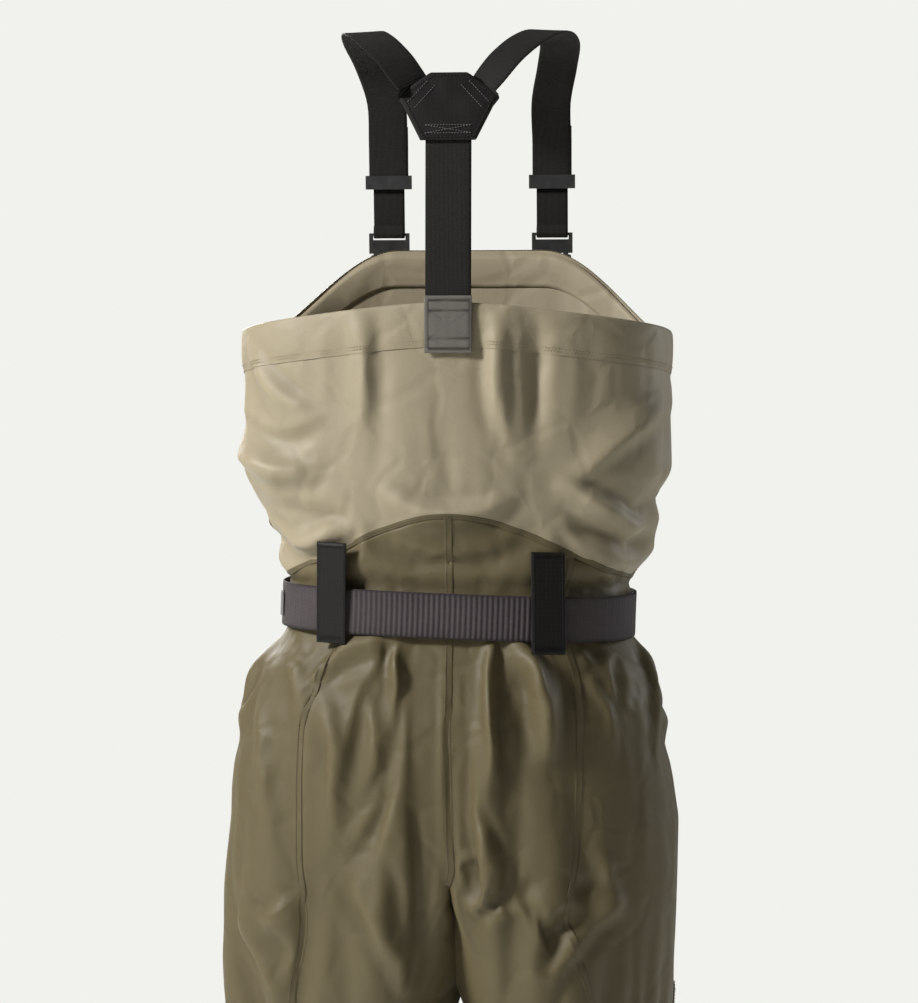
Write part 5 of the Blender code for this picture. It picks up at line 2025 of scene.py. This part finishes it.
def guard_point(angle, share, side):
    """Gaiter that hangs from the shin and flares over the ankle, gathered at its hem."""
    centre_x, half_width, half_depth, centre_y = station(LEG, GUARD_TOP)
    top = rounded_radius(angle, half_width + GUARD_CLEARANCE, half_depth + GUARD_CLEARANCE,
                         LEG_SQUARENESS)
    hem = rounded_radius(angle, GUARD_HEM_WIDTH, GUARD_HEM_DEPTH, LEG_SQUARENESS)
    pleats = math.sin(angle * GUARD_GATHERS + 2.5 * math.sin(angle * 3))
    gather = 0.0011 * pleats * eased((share - 0.62) / 0.2)
    place = Vector((math.cos(angle) * 3, math.sin(angle) * 3, share * 2.2 + side))
    slack = GUARD_SLACK * noise.noise(place)
    radius = top + (hem - top) * share + gather + slack * math.sin(math.pi * min(share, 1))
    radius -= 0.0022 * eased((share - 0.80) / 0.1)
    height = GUARD_TOP + (GUARD_HEM_HEIGHT - GUARD_HEM_DIP * math.sin(angle) - GUARD_TOP) * share
    return Vector((side * centre_x + radius * math.cos(angle),
                   centre_y + radius * math.sin(angle) + BODY_Y, height))


def make_gravel_guard(label, side):
    """Cuff of tougher cloth round the ankle, with stitching at its top and its hem."""
    turns = [2 * math.pi * s / GUARD_SIDES for s in range(GUARD_SIDES + 1)]
    rings = [[guard_point(turn, level / GUARD_LEVELS, side) for turn in turns[:-1]]
             for level in range(GUARD_LEVELS + 1)]
    made = banded("guard", rings, GUARD_CLOTH)
    thicken(made, 0.0014)
    piece(made, "gravel_guard_" + label, "root")
    centre = Vector((side * LEG[0][1], BODY_Y + 0.010, 0))
    for i, share in enumerate((0.05, 0.80, 0.96)):
        path = [guard_point(turn, share, side) for turn in turns[::2]]
        outs = [Vector((p.x - centre.x, p.y - centre.y, 0)).normalized() for p in path]
        path = [p + o * 0.0007 for p, o in zip(path, outs)]
        trim(stitches(f"guard_thread_{label}_{i}", path, outs, LEG_THREAD), "root")


def make_hook(label):
    """Lace hook bent from wire, swinging on its webbing tab."""
    low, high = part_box("gravel_hook_" + label)
    middle = (low.x + high.x) / 2
    depth = (low.y + high.y) / 2
    wire = 0.0009
    top, bottom, wide = high.z - wire, low.z + wire, (high.x - low.x) / 2 - wire
    narrow = 0.0022
    right_half = [(wide, top), (wide, top - 0.008), (narrow, top - 0.012), (narrow, bottom + 0.002)]
    left_half = [(-x, z) for x, z in right_half]
    keys = [(-wide, top), *right_half, (0, bottom), *left_half[::-1]]
    path = smooth_path([Vector((middle + x, depth, z)) for x, z in keys], 6)
    made = zigzag("hook", path, [FORWARD] * len(path), METAL, wire * 0.9)
    piece(made, "gravel_hook_" + label, label + "_hook")
    low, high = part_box("hook_tab_" + label)
    half = (high.x - low.x) / 2
    path = [Vector((middle, high.y - 0.0014, low.z)), Vector((middle, low.y + 0.0016, high.z))]
    tab = webbing("tab", path, [FORWARD] * 2, half * 2, 0.0016, STRAP_CLOTH, 0.00015, NARROW_PITCH)
    piece(tab, "hook_tab_" + label, "root")
    spot = Vector((middle, low.y + 0.0002, high.z - 0.004))
    bar_tack(f"hook_tack_{label}", spot, LEFTWARD, FORWARD, half * 1.6, DARK_THREAD)


def make_feet():
    for label, side in SIDES:
        make_knee(label, side)
        make_bootie(label, side)
        make_gravel_guard(label, side)
        make_hook(label)


# ---------------------------------------------------------------- floor, light and camera

BACKGROUND = linear(241, 242, 237)
FLOOR_REACH = 30.0
FILL = 0.105
CAMERA_TARGET = Vector((0.001, 0.02, 1.139))
CAMERA_AZIMUTH = math.radians(185)
CAMERA_ELEVATION = math.radians(2.5)
CAMERA_DISTANCE = 3.05
CAMERA_LENS = 96.2


def make_floor():
    """Pale floor that fades into the background colour away from the object."""
    mesh = bpy.data.meshes.new("floor")
    corners = [(x * FLOOR_REACH, y * FLOOR_REACH, 0) for x, y in ((-1, -1), (1, -1), (1, 1), (-1, 1))]
    mesh.from_pydata(corners, [], [[0, 1, 2, 3]])
    made = linked("floor", mesh)
    made.location.z = cad_box[0][2] - 0.001
    paint = Shader("floor_paint", (244, 245, 240), 0.9)
    paint.mix(paint.noise(3.0, 3.0), linear(238, 239, 233), amount=0.5)
    paint.bump(paint.noise(60.0, 3.0), 0.0004, 0.2)
    material = paint.done()
    glow = paint.node("ShaderNodeEmission", Color=BACKGROUND, Strength=1.0)
    far = paint.node("ShaderNodeVectorMath", operation="LENGTH")
    paint.link(paint.place(), far.inputs[0])
    fade = paint.node("ShaderNodeMapRange", interpolation_type="SMOOTHSTEP")
    fade.inputs["From Min"].default_value = 0.5
    fade.inputs["From Max"].default_value = 2.4
    paint.link(far.outputs["Value"], fade.inputs["Value"])
    seen = paint.node("ShaderNodeLightPath").outputs["Is Camera Ray"]
    blend = paint.node("ShaderNodeMixShader")
    paint.link(paint.combine(fade.outputs["Result"], seen), blend.inputs[0])
    paint.link(paint.surface.outputs[0], blend.inputs[1])
    paint.link(glow.outputs[0], blend.inputs[2])
    paint.link(blend.outputs[0], paint.tree.nodes["Material Output"].inputs["Surface"])
    mesh.materials.append(material)


def aimed(thing, spot, target):
    """Put a lamp or the camera at a spot, pointing at its target."""
    thing.location = spot
    thing.rotation_euler = (Vector(target) - Vector(spot)).to_track_quat("-Z", "Y").to_euler()


def add_light(name, spot, target, size, power, tint=(1, 1, 1)):
    lamp = bpy.data.lights.new(name, "AREA")
    lamp.size = size
    lamp.energy = power
    lamp.color = tint
    made = linked(name, lamp)
    aimed(made, spot, target)


def make_lights():
    """Keys on the wearer's left, one behind and one in front, a weak lamp and a dim even fill."""
    world = bpy.data.worlds.new("studio")
    world.use_nodes = True
    tree = world.node_tree
    seen = tree.nodes["Background"]
    seen.inputs["Color"].default_value = BACKGROUND
    fill = tree.nodes.new("ShaderNodeBackground")
    fill.inputs["Color"].default_value = BACKGROUND
    fill.inputs["Strength"].default_value = FILL
    path = tree.nodes.new("ShaderNodeLightPath")
    blend = tree.nodes.new("ShaderNodeMixShader")
    tree.links.new(path.outputs["Is Camera Ray"], blend.inputs[0])
    tree.links.new(fill.outputs[0], blend.inputs[1])
    tree.links.new(seen.outputs[0], blend.inputs[2])
    tree.links.new(blend.outputs[0], tree.nodes["World Output"].inputs["Surface"])
    bpy.context.scene.world = world
    warm, cool = (1.0, 0.985, 0.96), (0.96, 0.98, 1.0)
    add_light("back_key", (2.7, 1.9, 2.8), (0, 0, 1.0), 0.7, 148, warm)
    add_light("front_key", (1.9, -3.2, 2.5), (0, 0, 1.0), 1.2, 120, warm)
    add_light("flank", (-3.2, -1.6, 2.0), (0, 0, 1.0), 1.6, 34, cool)


def make_camera():
    """Long lens behind the wearer, a little above level and towards the wearer's right."""
    eye = bpy.data.cameras.new("camera")
    eye.lens = CAMERA_LENS
    eye.sensor_width = 36.0
    made = linked("camera", eye)
    level = math.cos(CAMERA_ELEVATION)
    away = Vector((math.sin(CAMERA_AZIMUTH) * level, -math.cos(CAMERA_AZIMUTH) * level,
                   math.sin(CAMERA_ELEVATION)))
    aimed(made, CAMERA_TARGET + away * CAMERA_DISTANCE, CAMERA_TARGET)
    bpy.context.scene.camera = made
    bpy.context.scene.view_settings.view_transform = "Standard"


make_panels()
CLOTH_SURFACE = surface_of([name + "_look" for name in SHELL_PANELS])
make_seams()
make_hem()
make_suspenders()
make_belt()
make_pocket()
make_zip()
make_cord_lock()
make_feet()
make_floor()
make_lights()
make_camera()
